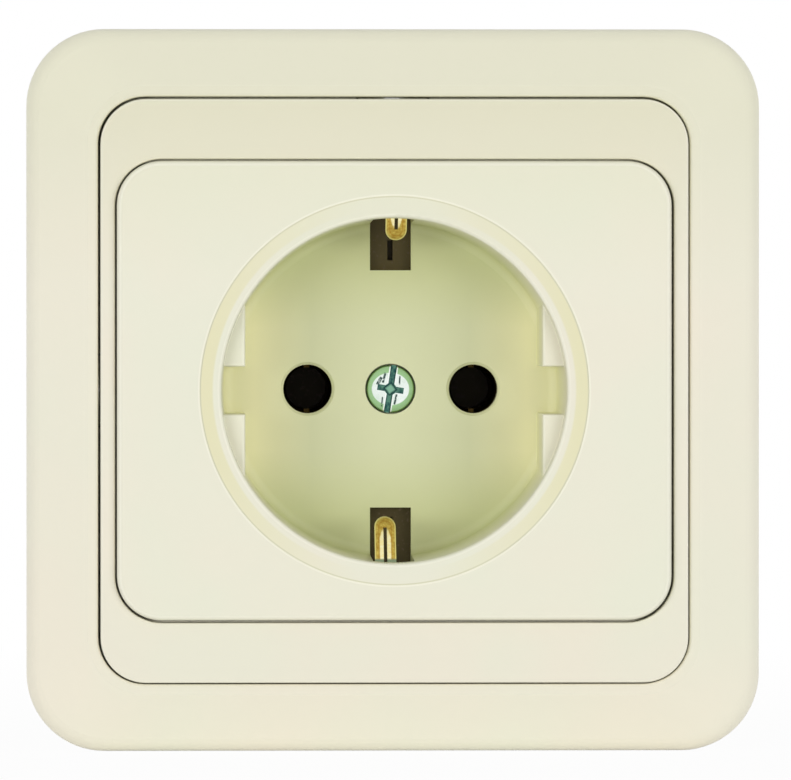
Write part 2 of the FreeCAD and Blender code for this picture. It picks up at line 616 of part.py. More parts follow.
def socket_cover():
    """One moulding: centre plate, bevelled ring and plug recess with guides and windows."""
    body = new_body("socket_cover")
    block = face_sketch(body, FRONT_OF_PLATE)
    rectangle(block, 0, 0, d.plate_width, d.plate_height, d.plate_corner)
    pad(body, block, d.plate_front - d.plate_seat)
    round_edges(body, lambda edge: level(edge, FRONT_OF_PLATE), d.plate_edge_round)
    hollow = face_sketch(body, PLATE_SEAT)
    rectangle(hollow, 0, 0, d.plate_width - 2 * d.plate_wall, d.plate_height - 2 * d.plate_wall,
              d.plate_corner - d.plate_wall)
    pocket(body, hollow, d.plate_front - d.plate_seat - d.plate_wall, to_rear=False)

    tube = new_sketch(body, "XY_Plane")
    outline(tube, [
        (0, PLATE_BACK - d.plate_wall / 2),
        (CUP_OUTSIDE, PLATE_BACK - d.plate_wall / 2),
        (CUP_OUTSIDE - d.cup_taper, CUP_REAR, d.cup_floor_round),
        (0, CUP_REAR),
    ])
    turned(body, tube)
    gussets = face_sketch(body, PLATE_BACK - d.plate_wall / 2)
    reach = d.plate_width / 2 - d.plate_wall / 2 - d.cup_radius
    for side_x, side_z in CORNERS:
        rectangle(gussets, side_x * (d.cup_radius + reach / 2), side_z * d.gusset_place,
                  reach, d.gusset)
    pad(body, gussets, d.plate_front - d.plate_seat - d.plate_wall / 2 - d.bezel_wall)

    bore = new_sketch(body, "XY_Plane")
    outline(bore, [
        (0, FRONT_OF_PLATE - CUT_MARGIN),
        (RING_RADIUS, FRONT_OF_PLATE - CUT_MARGIN),
        (RING_RADIUS, FRONT_OF_PLATE + d.ring_step),
        (d.cup_radius, LIP, d.lip_round),
        (d.cup_radius - d.cup_taper, CUP_FLOOR, d.cup_floor_round),
        (0, CUP_FLOOR),
    ])
    turned(body, bore, "PartDesign::Groove")

    guides = face_sketch(body, LIP + d.guide_drop)
    guide_flats(guides)
    pad(body, guides, d.cup_depth - d.guide_drop + d.cup_floor / 2)
    front = LIP + d.guide_drop
    round_edges(
        body,
        lambda edge: level(edge, front) and edge.Curve.TypeId == "Part::GeomLine",
        d.guide_round,
    )

    windows = face_sketch(body, LIP + d.window_drop)
    reach = d.window_reach + d.cup_wall + CUT_MARGIN
    for side in (1, -1):
        middle = side * (d.cup_radius - d.window_reach + reach / 2)
        rectangle(windows, 0, middle, d.window_width, reach)
    pocket(body, windows, d.cup_depth - d.window_drop + d.cup_floor + CUT_MARGIN)

    boss = face_sketch(body, CUP_REAR - d.cup_floor / 2)
    circle(boss, 0, 0, d.screw_head + d.cup_wall)
    pad(body, boss, d.cup_floor / 2 + d.base_gap)
    holes = face_sketch(body, CUP_FLOOR)
    for side in (1, -1):
        circle(holes, side * PIN_PLACE, 0, d.pin_hole)
    pocket(body, holes, d.cup_floor + CUT_MARGIN)
    seat = face_sketch(body, CUP_FLOOR)
    circle(seat, 0, 0, d.screw_head + d.screw_play)
    pocket(body, seat, d.screw_seat)
    shank = face_sketch(body, CUP_FLOOR)
    circle(shank, 0, 0, d.screw_shank + d.screw_play)
    pocket(body, shank, d.cup_floor + d.base_gap + CUT_MARGIN)

    def pin_rim(edge):
        return (level(edge, CUP_FLOOR) and edge.Curve.TypeId == "Part::GeomCircle"
                and abs(edge.Curve.Radius - d.pin_hole.number) < 1e-4)

    round_edges(body, pin_rim, d.pin_bevel, "PartDesign::Chamfer")
    return body


def domed_screw(body, head, rise, dome, shank, reach):
    """A screw with its head's seat at y = 0, head towards the room, dome on top."""
    profile = new_sketch(body, "XY_Plane")
    outline(profile, [
        (0, -(rise + dome)),
        (head * DOME_FLAT, -(rise + dome)),
        (head * DOME_SHOULDER, -(rise + dome * DOME_SHOULDER_RISE)),
        (head, -rise),
        (head, 0),
        (shank, 0),
        (shank, reach - shank / 2),
        (shank / 2, reach),
        (0, reach),
    ])
    turned(body, profile)


def cut_slot(body, front, wide, long, deep):
    """A straight slot across a screw's head."""
    sketch = face_sketch(body, front)
    rectangle(sketch, 0, 0, wide, long)
    pocket(body, sketch, deep)


def cover_screw():
    """Steel screw with a combination recess: a full slot crossed by a short one."""
    body = new_body("cover_screw", 0, CUP_FLOOR + d.screw_seat, 0, -d.screw_turn)
    domed_screw(body, d.screw_head, d.screw_head_rise, d.screw_dome, d.screw_shank, d.screw_reach)
    front = -(d.screw_head_rise + d.screw_dome)
    cut_slot(body, front, d.screw_slot, 2 * (d.screw_head + CUT_MARGIN), d.screw_slot_depth)
    cut_slot(body, front, d.screw_cross, d.screw_slot, d.screw_slot_depth)
    return body


def hexagon(sketch, x, z, flats):
    """A regular hexagon with a corner on each side in X."""
    half = flats / 2
    far = flats / math.sqrt(3)
    outline(sketch, [
        (x + far, z),
        (x + far / 2, z + half),
        (x - far / 2, z + half),
        (x - far, z),
        (x - far / 2, z - half),
        (x + far / 2, z - half),
    ])


def captive_nut():
    """Brass nut in the base, behind the recess floor, that the cover screw turns into."""
    body = new_body("captive_nut", 0, STRIP - d.nut_height, 0)
    sketch = face_sketch(body, 0)
    hexagon(sketch, NOTHING, NOTHING, d.nut_flats)
    circle(sketch, 0, 0, d.screw_shank)
    pad(body, sketch, d.nut_height)
    return body


def support_bracket():
    """Zinc-plated steel plate on the wall, with radial slots for the box screws."""
    body = new_body("support_bracket")
    sketch = face_sketch(body, BRACKET_FACE)
    rectangle(sketch, 0, 0, BRACKET_WIDE, BRACKET_HIGH, d.bracket_corner)
    circle(sketch, 0, 0, BRACKET_OPENING)
    for side_x, side_z in CORNERS:
        circle(sketch, side_x * RIVET_PLACE, side_z * RIVET_PLACE, d.rivet_shank + d.screw_play)
    pad(body, sketch, d.bracket_sheet)
    slots = face_sketch(body, BRACKET_FACE)
    for side in (1, -1):
        slot(slots, side * d.box_pitch / 2, NOTHING, d.box_slot_run, d.box_slot, True)
        slot(slots, NOTHING, side * d.box_pitch / 2, d.box_slot_run, d.box_slot, False)
    pocket(body, slots, d.bracket_sheet)
    notches = face_sketch(body, BRACKET_FACE)
    for side in (1, -1):
        for place in (1, -1):
            rectangle(notches, place * d.notch_place, side * BRACKET_HIGH / 2,
                      d.notch_width, 2 * d.notch_depth)
            rectangle(notches, side * BRACKET_WIDE / 2, place * d.notch_place,
                      2 * d.notch_depth, d.notch_width)
    pocket(body, notches, d.bracket_sheet)
    return body


def bracket_rivets():
    """Four rivets through the bracket and the pillars of the base."""
    bodies = []
    for number, (side_x, side_z) in enumerate(CORNERS, start=1):
        body = new_body("rivet_%d" % number, side_x * RIVET_PLACE, BRACKET_FACE, side_z * RIVET_PLACE)
        end = d.bracket_sheet + BASE_FRONT + d.pillar_foot
        profile = new_sketch(body, "XY_Plane")
        outline(profile, [
            (0, -d.rivet_head_rise),
            (d.rivet_head * RIVET_TOP, -d.rivet_head_rise),
            (d.rivet_head, NOTHING),
            (d.rivet_shank, NOTHING),
            (d.rivet_shank, end),
            (d.rivet_head * RIVET_TAIL, end),
            (d.rivet_head * RIVET_TAIL_TOP, end + d.rivet_head_rise),
            (0, end + d.rivet_head_rise),
        ])
        turned(body, profile)
        bodies.append(body)
    return group("bracket_rivets", bodies)


def strip_outline(sketch, side, play=NOTHING):
    """L-shaped strip of a line contact: side is -1 for live and 1 for neutral."""
    inner = PIN_PLACE - SLEEVE_OUTSIDE - d.sleeve_wall - play
    step = d.terminal_x - CLAMP_HALF - play
    outer = d.terminal_x + CLAMP_HALF + play
    near = SLEEVE_OUTSIDE + d.sleeve_wall + play
    far = d.terminal_z + CLAMP_HALF + play
    outline(sketch, [
        (side * inner, -side * near),
        (side * outer, -side * near),
        (side * outer, side * far),
        (side * step, side * far),
        (side * step, side * near),
        (side * inner, side * near),
    ])


def socket_base():
    """Dark insulating moulding in the wall box, with chambers that open to the rear."""
    body = new_body("socket_base")
    block = face_sketch(body, BASE_FRONT)
    rectangle(block, 0, 0, 2 * BASE_HALF, 2 * BASE_HALF, d.base_corner)
    pad(body, block, d.base_depth)
    pillars = face_sketch(body, 0)
    for side_x, side_z in CORNERS:
        circle(pillars, side_x * RIVET_PLACE, side_z * RIVET_PLACE, d.pillar)
    pad(body, pillars, BASE_FRONT + d.pillar_foot)
    scallops = face_sketch(body, BASE_FRONT + d.pillar_foot)
    for side_x, side_z in CORNERS:
        circle(scallops, side_x * RIVET_PLACE, side_z * RIVET_PLACE, d.pillar + d.strip_play)
    pocket(body, scallops, d.base_depth)
    shanks = face_sketch(body, 0)
    for side_x, side_z in CORNERS:
        circle(shanks, side_x * RIVET_PLACE, side_z * RIVET_PLACE, d.rivet_shank + d.screw_play)
    pocket(body, shanks, BASE_FRONT + d.pillar_foot + CUT_MARGIN)

    chambers = face_sketch(body, BASE_REAR)
    for side in (1, -1):
        strip_outline(chambers, side, d.strip_play)
    pocket(body, chambers, d.base_depth - d.strip_depth, to_rear=False)
    wells = face_sketch(body, STRIP)
    for side in (1, -1):
        circle(wells, side * PIN_PLACE, 0, SLEEVE_OUTSIDE + d.spring_wall + d.strip_play)
    pocket(body, wells, d.strip_depth - d.base_skin, to_rear=False)

    channel = face_sketch(body, BASE_REAR)
    rectangle(channel, 0, 0, d.earth_strip + 2 * d.strip_play, 2 * (UPRIGHT_OUT + d.strip_play))
    pocket(body, channel, d.base_depth - d.strip_depth, to_rear=False)
    hub_room = face_sketch(body, BASE_REAR)
    hub_half = d.earth_hub / 2 + d.strip_play
    rectangle(hub_room, 0, -(d.earth_z - hub_half) / 2, 2 * hub_half, d.earth_z + hub_half)
    pocket(body, hub_room, d.base_depth - d.strip_depth, to_rear=False)
    earth_room = face_sketch(body, BASE_REAR)
    rectangle(earth_room, 0, -d.earth_z, 2 * EARTH_ROOM, 2 * (CLAMP_HALF + d.strip_play))
    pocket(body, earth_room, d.base_depth - d.strip_depth, to_rear=False)
    shafts = face_sketch(body, STRIP)
    for side, place in FINGERS:
        rectangle(shafts, place, side * (UPRIGHT_IN + UPRIGHT_OUT) / 2,
                  d.finger_width + 2 * d.strip_play, d.finger_sheet + 2 * d.strip_play)
    pocket(body, shafts, d.strip_depth + CUT_MARGIN, to_rear=False)
    nut_room = face_sketch(body, STRIP)
    hexagon(nut_room, NOTHING, NOTHING, d.nut_flats)
    pocket(body, nut_room, d.nut_height, to_rear=False)

    fronts = face_sketch(body, BASE_FRONT)
    for side in (1, -1):
        circle(fronts, side * PIN_PLACE, 0, d.pin_hole)
        circle(fronts, side * d.terminal_x, side * d.terminal_z, d.terminal_head + d.screw_play)
    circle(fronts, 0, -d.earth_z, d.terminal_head + d.screw_play)
    circle(fronts, 0, 0, d.screw_shank + d.screw_play)
    pocket(body, fronts, d.strip_depth + CUT_MARGIN)
    slits = face_sketch(body, BASE_FRONT)
    for side in (1, -1):
        rectangle(slits, 0, side * (d.cup_radius - d.slit_place), d.slit_width, d.slit_length)
    pocket(body, slits, d.base_skin)
    pilots = face_sketch(body, BASE_REAR)
    for side in (1, -1):
        circle(pilots, -side * LID_SCREW_X, side * LID_SCREW_Z, d.lid_screw_shank)
    pocket(body, pilots, d.lid_screw_reach + CUT_MARGIN, to_rear=False)

    wire_y = STRIP_BACK + d.clamp_open / 2
    wall = BASE_HALF - d.terminal_x + CUT_MARGIN
    for side, start in ((1, d.terminal_x), (-1, -BASE_HALF - CUT_MARGIN)):
        line_wires = new_sketch(body, "YZ_Plane", start)
        for place in (1, -1):
            circle(line_wires, wire_y, side * d.terminal_z + place * d.wire_place, d.wire_hole)
        pocket(body, line_wires, wall, to_rear=False)
    earth_wires = new_sketch(body, "XY_Plane", -BASE_HALF - CUT_MARGIN)
    for place in (1, -1):
        circle(earth_wires, place * EARTH_WIRE, wire_y, d.wire_hole)
    pocket(body, earth_wires, BASE_HALF + CUT_MARGIN - d.earth_z, to_rear=False)
    return body


def base_lid():
    """Rear lid of the base, with posts that hold the contact strips in their chambers."""
    body = new_body("base_lid")
    sketch = face_sketch(body, BASE_REAR)
    half = BASE_HALF - d.lid_inset
    rectangle(sketch, 0, 0, 2 * half, 2 * half, d.base_corner - d.lid_inset)
    pad(body, sketch, d.lid_sheet)
    scallops = face_sketch(body, BASE_REAR)
    for side_x, side_z in CORNERS:
        circle(scallops, side_x * RIVET_PLACE, side_z * RIVET_PLACE, d.pillar + d.strip_play)
    pocket(body, scallops, d.lid_sheet + CUT_MARGIN)
    posts = face_sketch(body, STRIP_BACK)
    for side in (1, -1):
        circle(posts, side * POST_PLACE, 0, d.lid_post)
    pad(body, posts, BASE_REAR - STRIP_BACK + d.lid_sheet / 2)
    holes = face_sketch(body, BASE_REAR)
    for side in (1, -1):
        circle(holes, -side * LID_SCREW_X, side * LID_SCREW_Z, d.lid_screw_shank + d.screw_play)
    pocket(body, holes, d.lid_sheet + CUT_MARGIN)
    return body


def lid_screws():
    """Two screws that hold the lid, driven from the rear."""
    bodies = []
    for number, side in enumerate((1, -1), start=1):
        body = new_body("lid_screw_%d" % number, -side * LID_SCREW_X, BASE_REAR + d.lid_sheet,
                        side * LID_SCREW_Z)
        rise = d.lid_screw_rise
        profile = new_sketch(body, "XY_Plane")
        outline(profile, [
            (0, -d.lid_screw_reach),
            (d.lid_screw_shank / 2, -d.lid_screw_reach),
            (d.lid_screw_shank, -(d.lid_screw_reach - d.lid_screw_shank)),
            (d.lid_screw_shank, NOTHING),
            (d.lid_screw_head, NOTHING),
            (d.lid_screw_head * LID_HEAD_TOP, rise),
            (0, rise),
        ])
        turned(body, profile)
        recess = face_sketch(body, rise)
        rectangle(recess, 0, 0, d.screw_slot, 2 * d.lid_screw_head + CUT_MARGIN)
        pocket(body, recess, d.lid_screw_slot, to_rear=False)
        bodies.append(body)
    return group("lid_screws", bodies)


def line_contact(label, side):
    """Brass contact: a split sleeve for the pin, on a strip with the terminal's hole."""
    body = new_body(label)
    strip = face_sketch(body, STRIP)
    strip_outline(strip, side)
    pad(body, strip, d.strip_sheet)
    sleeve = face_sketch(body, SLEEVE_FRONT)
    circle(sleeve, side * PIN_PLACE, 0, SLEEVE_OUTSIDE)
    pad(body, sleeve, SLEEVE_LENGTH)
    bore = face_sketch(body, SLEEVE_FRONT)
    circle(bore, side * PIN_PLACE, 0, d.sleeve_bore)
    pocket(body, bore, SLEEVE_LENGTH + CUT_MARGIN)
    mouth = face_sketch(body, SLEEVE_FRONT)
    circle(mouth, side * PIN_PLACE, 0, d.sleeve_bore + d.sleeve_flare)
    flare = pocket(body, mouth, d.sleeve_flare * FLARE_DEPTH)
    flare.TaperAngle = -FLARE_ANGLE
    front_slits = face_sketch(body, SLEEVE_FRONT)
    rectangle(front_slits, side * PIN_PLACE, 0, d.sleeve_slit, 2 * SLEEVE_OUTSIDE + d.sleeve_slit)
    pocket(body, front_slits, STRIP - SLEEVE_FRONT - d.sleeve_slit)
    rear_slits = face_sketch(body, STRIP_BACK + d.sleeve_slit)
    rectangle(rear_slits, side * PIN_PLACE, 0, d.sleeve_slit, 2 * SLEEVE_OUTSIDE + d.sleeve_slit)
    pocket(body, rear_slits, SLEEVE_LENGTH)
    hole = face_sketch(body, STRIP)
    circle(hole, side * d.terminal_x, side * d.terminal_z, d.terminal_shank + d.screw_play)
    pocket(body, hole, d.strip_sheet + CUT_MARGIN)
    return body


def contact_spring(label, side):
    """Open steel ring that presses the leaves of a sleeve together."""
    body = new_body(label, side * PIN_PLACE, SLEEVE_FRONT + d.spring_place, 0)
    ring = face_sketch(body, 0)
    circle(ring, 0, 0, SLEEVE_OUTSIDE + d.spring_wall)
    circle(ring, 0, 0, SLEEVE_OUTSIDE)
    pad(body, ring, d.spring_width)
    gap = face_sketch(body, 0)
    rectangle(gap, 0, SLEEVE_OUTSIDE, d.sleeve_slit, 4 * d.spring_wall)
    pocket(body, gap, d.spring_width)
    return body


def terminal(name, x, z):
    """Clamp plate and screw of one terminal: the screw pulls the plate onto the conductor."""
    plate = new_body(name + "_clamp_plate", x, CLAMP, z)
    sketch = face_sketch(plate, 0)
    rectangle(sketch, 0, 0, d.clamp_size, d.clamp_size, d.clamp_corner)
    circle(sketch, 0, 0, d.terminal_shank)
    pad(plate, sketch, d.clamp_sheet)
    screw = new_body(name + "_terminal_screw", x, STRIP, z)
    reach = d.strip_sheet + d.clamp_open + d.clamp_sheet + d.terminal_tail
    domed_screw(screw, d.terminal_head, d.terminal_head_rise, d.terminal_dome, d.terminal_shank, reach)
    front = -(d.terminal_head_rise + d.terminal_dome)
    cut_slot(screw, front, d.screw_slot, 2 * (d.terminal_head + CUT_MARGIN), d.screw_slot_depth)
    return [plate, screw]


def finger_profile(sketch, side, reach):
    """Side view of one finger: upright, two bends and a tongue that falls towards the floor."""
    front = LIP + d.finger_drop
    tip = d.cup_radius - reach
    start = d.cup_radius
    fall = (start - tip) * d.finger_fall
    lean = d.finger_sheet * root(as_size(1.0) + d.finger_fall * d.finger_fall)
    crease = start + (lean - d.finger_sheet) / d.finger_fall
    outline(sketch, [
        (STRIP + d.strip_sheet / 2, side * UPRIGHT_OUT),
        (front, side * UPRIGHT_OUT, d.finger_bend),
        (front, side * start, d.finger_bend),
        (front + fall, side * tip),
        (front + fall + lean, side * tip),
        (front + d.finger_sheet, side * crease, d.finger_bend - d.finger_sheet),
        (front + d.finger_sheet, side * UPRIGHT_IN, d.finger_inner_bend),
        (STRIP + d.strip_sheet / 2, side * UPRIGHT_IN),
    ])


def earth_bridge():
    """Brass strip across the base that ends in the two spring fingers of the earth contact."""
    body = new_body("earth_bridge")
    flat = face_sketch(body, STRIP)
    half = d.earth_strip / 2
    hub = d.earth_hub / 2
    wing = CLAMP_HALF
    low = -d.earth_z - wing
    high = -d.earth_z + wing
    right_side = [(half, -UPRIGHT_OUT), (half, low), (wing, low), (wing, high), (hub, high),
                  (hub, hub), (half, hub), (half, UPRIGHT_OUT)]
    left_side = [(-x, z) for x, z in reversed(right_side)]
    outline(flat, right_side + left_side)
    circle(flat, 0, 0, d.screw_shank + d.screw_play)
    circle(flat, 0, -d.earth_z, d.terminal_shank + d.screw_play)
    pad(body, flat, d.strip_sheet)
    for (side, place), reach in zip(FINGERS, (d.top_reach, d.bottom_reach)):
        upright = new_sketch(body, "YZ_Plane", place)
        finger_profile(upright, side, reach)
        pad(body, upright, d.finger_width, middle=True)
    tips = (d.cup_radius - d.top_reach, d.bottom_reach - d.cup_radius)

    def nose_edge(edge):
        box = edge.BoundBox
        return any(abs(box.ZMin - tip.number) < 1e-4 and box.ZLength < 1e-4 and box.XLength < 1e-4
                   for tip in tips)

    round_edges(body, nose_edge, (d.finger_width - d.finger_nose_flat) / 2)
    for (side, place), tip in zip(FINGERS, tips):
        slit = face_sketch(body, LIP)
        near = tip + side * d.finger_nose
        rectangle(slit, place, (near + side * d.cup_radius) / 2,
                  d.finger_slit, (side * d.cup_radius - near) * side)
        pocket(body, slit, d.cup_depth)
    return body


PIECES = [
    outer_frame(),
    inner_bezel(),
    socket_cover(),
    cover_screw(),
    captive_nut(),
    support_bracket(),
    bracket_rivets(),
    socket_base(),
    base_lid(),
    lid_screws(),
    earth_bridge(),
    line_contact("live_contact", -1),
    line_contact("neutral_contact", 1),
    contact_spring("live_contact_spring", -1),
    contact_spring("neutral_contact_spring", 1),
]
PIECES += terminal("live", -d.terminal_x, -d.terminal_z)
PIECES += terminal("neutral", d.terminal_x, d.terminal_z)
PIECES += terminal("earth", NOTHING, -d.earth_z)

doc.recompute()
for item in doc.Objects:
    if "Invalid" in item.State or "Error" in item.State:
        raise ValueError("%s did not build: %s" % (item.Label, item.State))
    if item.TypeId in ("PartDesign::Pocket", "PartDesign::Groove"):
        if item.Shape.Volume >= item.BaseFeature.Shape.Volume:
            raise ValueError("%s cuts nothing" % item.Label)
for piece in PIECES:
    if piece.Shape.isNull() or not piece.Shape.isValid():
        raise ValueError("%s has no valid shape" % piece.Label)

os.makedirs("parts", exist_ok=True)
for piece in PIECES:
    piece.Shape.exportStep("parts/%s.step" % piece.Label)
    print(piece.Label, len(piece.Shape.Solids), round(piece.Shape.Volume, 1))
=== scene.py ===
import math

import bpy
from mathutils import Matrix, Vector


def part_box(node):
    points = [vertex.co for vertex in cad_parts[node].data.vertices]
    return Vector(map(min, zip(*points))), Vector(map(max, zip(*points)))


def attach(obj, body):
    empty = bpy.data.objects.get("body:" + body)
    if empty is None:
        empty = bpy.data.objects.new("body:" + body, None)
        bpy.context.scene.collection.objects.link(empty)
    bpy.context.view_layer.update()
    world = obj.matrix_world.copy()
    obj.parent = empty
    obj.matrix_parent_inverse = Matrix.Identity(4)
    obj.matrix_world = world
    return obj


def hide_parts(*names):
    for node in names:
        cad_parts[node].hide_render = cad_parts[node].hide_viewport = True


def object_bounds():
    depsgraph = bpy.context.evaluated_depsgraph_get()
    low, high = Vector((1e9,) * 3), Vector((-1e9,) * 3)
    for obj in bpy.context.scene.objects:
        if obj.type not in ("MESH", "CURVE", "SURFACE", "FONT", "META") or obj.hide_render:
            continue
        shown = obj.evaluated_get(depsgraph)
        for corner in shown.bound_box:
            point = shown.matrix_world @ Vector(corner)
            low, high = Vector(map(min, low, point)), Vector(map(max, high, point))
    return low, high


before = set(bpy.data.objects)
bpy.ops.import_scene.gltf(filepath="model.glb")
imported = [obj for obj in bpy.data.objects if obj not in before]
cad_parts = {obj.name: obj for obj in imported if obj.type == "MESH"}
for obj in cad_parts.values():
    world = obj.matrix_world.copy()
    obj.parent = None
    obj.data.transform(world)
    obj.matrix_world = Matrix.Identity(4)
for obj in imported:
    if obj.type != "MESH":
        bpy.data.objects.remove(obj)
cad_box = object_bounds()

# Base in the wall box: a dark brown thermosetting moulding, pressed with a mineral filler that
# shows as fine light and dark specks. It carries the contacts and is riveted to the bracket.


def shade(red, green, blue):
    """A colour as it is read from a screen, from 0 to 255, made linear for the shader."""
    linear = []
    for part in (red, green, blue):
        part = part / 255
        linear.append(part / 12.92 if part <= 0.04045 else ((part + 0.055) / 1.055) ** 2.4)
    return (*linear, 1.0)


BROWN_BODY = (shade(90, 79, 46), shade(76, 66, 37))
BROWN_SPECKS = shade(96, 82, 62)
BROWN_SHEEN = 0.35
EDGE_WIDTH = 0.00017
EDGE_SAMPLES = 6


def add_node(tree, kind, **settings):
    """A new shader node with its own settings."""
    node = tree.nodes.new(kind)
    for name, value in settings.items():
        setattr(node, name, value)
    return node


def feed(tree, value, socket):
    """Gives a socket its number or colour, or links it to the output that feeds it."""
    if isinstance(value, (int, float, tuple)):
        socket.default_value = value
    else:
        tree.links.new(value, socket)


def open_group(name, inputs):
    """A new shader node group, and its named inputs as outputs to read from."""
    group = bpy.data.node_groups.new(name, "ShaderNodeTree")
    for socket_name, value in inputs.items():
        socket = group.interface.new_socket(socket_name, in_out="INPUT", socket_type="NodeSocketFloat")
        socket.default_value = value
    return group, add_node(group, "NodeGroupInput").outputs


def close_group(group, outputs):
    """Gives a group its named outputs and what feeds them."""
    for socket_name in outputs:
        group.interface.new_socket(socket_name, in_out="OUTPUT", socket_type="NodeSocketFloat")
    end = add_node(group, "NodeGroupOutput")
    for socket_name, value in outputs.items():
        group.links.new(value, end.inputs[socket_name])
    return group


def object_place(tree):
    """The object coordinates of the point that is shaded, as one vector."""
    return add_node(tree, "ShaderNodeTexCoord").outputs["Object"]


def noise(tree, place, scale, detail, roughness):
    """Noise over a place; its scale may be a number or a link."""
    node = add_node(tree, "ShaderNodeTexNoise")
    tree.links.new(place, node.inputs["Vector"])
    for name, value in (("Scale", scale), ("Detail", detail), ("Roughness", roughness)):
        feed(tree, value, node.inputs[name])
    return node.outputs["Fac"]


def ramp(tree, value, low=0.0, high=1.0, start=0.0, stop=1.0):
    """Spreads a value between low and high over 0 to 1, or over start to stop."""
    node = add_node(tree, "ShaderNodeMapRange")
    tree.links.new(value, node.inputs["Value"])
    for name, number in (("From Min", low), ("From Max", high), ("To Min", start), ("To Max", stop)):
        node.inputs[name].default_value = number
    return node.outputs["Result"]


def combine(tree, operation, first, second=0.0, third=0.0):
    """A sum, product or the like of one to three values; each may be a number."""
    node = add_node(tree, "ShaderNodeMath", operation=operation)
    for socket, value in zip(node.inputs, (first, second, third)):
        feed(tree, value, socket)
    return node.outputs[0]


def band(tree, value, low, high, blur):
    """1 where a value lies between low and high and 0 elsewhere, with soft ends."""
    rise = ramp(tree, value, low - blur, low + blur)
    fall = ramp(tree, value, high + blur, high - blur)
    return combine(tree, "MULTIPLY", rise, fall)


def facing_share(tree):
    """1 on a face that looks straight out of the wall, and 0 on one that looks sideways."""
    split = add_node(tree, "ShaderNodeSeparateXYZ")
    tree.links.new(add_node(tree, "ShaderNodeNewGeometry").outputs["Normal"], split.inputs[0])
    return combine(tree, "MULTIPLY", split.outputs["Y"], -1.0)


def blend_colours(tree, mask, first, second):
    """First colour where the mask is 0 and second where it is 1; either may be a link."""
    node = add_node(tree, "ShaderNodeMix", data_type="RGBA")
    tree.links.new(mask, node.inputs[0])
    feed(tree, first, node.inputs[6])
    feed(tree, second, node.inputs[7])
    return node.outputs[2]


def moulded_surface():
    """Group for every plastic piece: cloudy patches, texture of the mould, specks, and masks for painted
    highlights on edges and rounds.
    """
    group, given = open_group(
        "moulded_surface", {"Patch Scale": 55.0, "Texture Scale": 1800.0, "Speck Scale": 2600.0})
    place = object_place(group)
    patches = noise(group, place, given["Patch Scale"], detail=2.0, roughness=0.5)
    texture = noise(group, place, given["Texture Scale"], detail=4.0, roughness=0.6)
    specks = noise(group, place, given["Speck Scale"], detail=1.0, roughness=0.4)
    rounded = add_node(group, "ShaderNodeBevel", samples=EDGE_SAMPLES)
    rounded.inputs["Radius"].default_value = EDGE_WIDTH
    flat = add_node(group, "ShaderNodeNewGeometry")
    alike = add_node(group, "ShaderNodeVectorMath", operation="DOT_PRODUCT")
    group.links.new(rounded.outputs["Normal"], alike.inputs[0])
    group.links.new(flat.outputs["Normal"], alike.inputs[1])
    return close_group(group, {
        "Patches": ramp(group, patches, low=0.35, high=0.65),
        "Texture": texture,
        "Specks": ramp(group, specks, low=0.6, high=0.72),
        # Masks for painted highlights: along sharp edges and on rounded faces.
        "Edges": ramp(group, alike.outputs["Value"], low=1.0, high=0.86),
        "Rounds": band(group, facing_share(group), low=0.62, high=0.96, blur=0.02),
    })


MOULDED = moulded_surface()


def new_material(name, group, values):
    """A material and its shader, and what the shared group puts out with this material's values."""
    material = bpy.data.materials.new(name)
    material.use_nodes = True
    tree = material.node_tree
    surface = add_node(tree, "ShaderNodeGroup", node_tree=group)
    for socket, value in values.items():
        surface.inputs[socket].default_value = value
    return material, tree, tree.nodes["Principled BSDF"], surface.outputs


def roughen(tree, shader, value, low, high):
    """Lets the roughness wander between low and high."""
    tree.links.new(ramp(tree, value, start=low, stop=high), shader.inputs["Roughness"])


def relief(tree, shader, height, strength, depth):
    """A fine bump on the surface; its depth is in metres."""
    node = add_node(tree, "ShaderNodeBump")
    node.inputs["Strength"].default_value = strength
    node.inputs["Distance"].default_value = depth
    tree.links.new(height, node.inputs["Height"])
    tree.links.new(node.outputs["Normal"], shader.inputs["Normal"])


def dress(material, *nodes):
    """Gives CAD nodes this material instead of the plain one they come with."""
    for name in nodes:
        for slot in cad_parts[name].material_slots:
            slot.material = material


def brown_moulding():
    """Dark brown plastic with paler specks of filler, and rather dull."""
    material, tree, shader, surface = new_material(
        "brown_moulding", MOULDED, {"Patch Scale": 90.0, "Texture Scale": 1500.0, "Speck Scale": 2200.0})
    body = blend_colours(tree, surface["Patches"], *BROWN_BODY)
    body = blend_colours(tree, surface["Specks"], body, BROWN_SPECKS)
    tree.links.new(body, shader.inputs["Base Color"])
    shader.inputs["Specular IOR Level"].default_value = BROWN_SHEEN
    roughen(tree, shader, surface["Texture"], low=0.38, high=0.6)
    relief(tree, shader, surface["Texture"], strength=0.25, depth=0.00005)
    return material


dress(brown_moulding(), "socket_base", "base_lid")

# Line contacts: punched and rolled brass, a split sleeve for each pin on its flat strip, with a
# ring of blued spring steel that presses the leaves of the sleeve together.
# The brass is toned dark as painted shade, so that the contacts stay dark down in the pin holes.
DARKENED_BRASS_TONES = (shade(112, 92, 48), shade(78, 62, 32))
BLUED_TONES = (shade(140, 142, 148), shade(104, 106, 114))
ROLLING_STRETCH = (1.0, 0.08, 1.0)


def worked_metal():
    """Group for every metal piece: drawn lines of rolling, cloudy tarnish and fine pits."""
    group, given = open_group(
        "worked_metal", {"Line Scale": 900.0, "Cloud Scale": 260.0, "Pit Scale": 3200.0})
    place = object_place(group)
    rolled = add_node(group, "ShaderNodeMapping")
    rolled.inputs["Scale"].default_value = ROLLING_STRETCH
    group.links.new(place, rolled.inputs["Vector"])
    clouds = noise(group, place, given["Cloud Scale"], detail=3.0, roughness=0.55)
    return close_group(group, {
        "Lines": noise(group, rolled.outputs["Vector"], given["Line Scale"], detail=3.0, roughness=0.6),
        "Clouds": ramp(group, clouds, low=0.35, high=0.68),
        "Pits": noise(group, place, given["Pit Scale"], detail=2.0, roughness=0.5),
    })


WORKED = worked_metal()


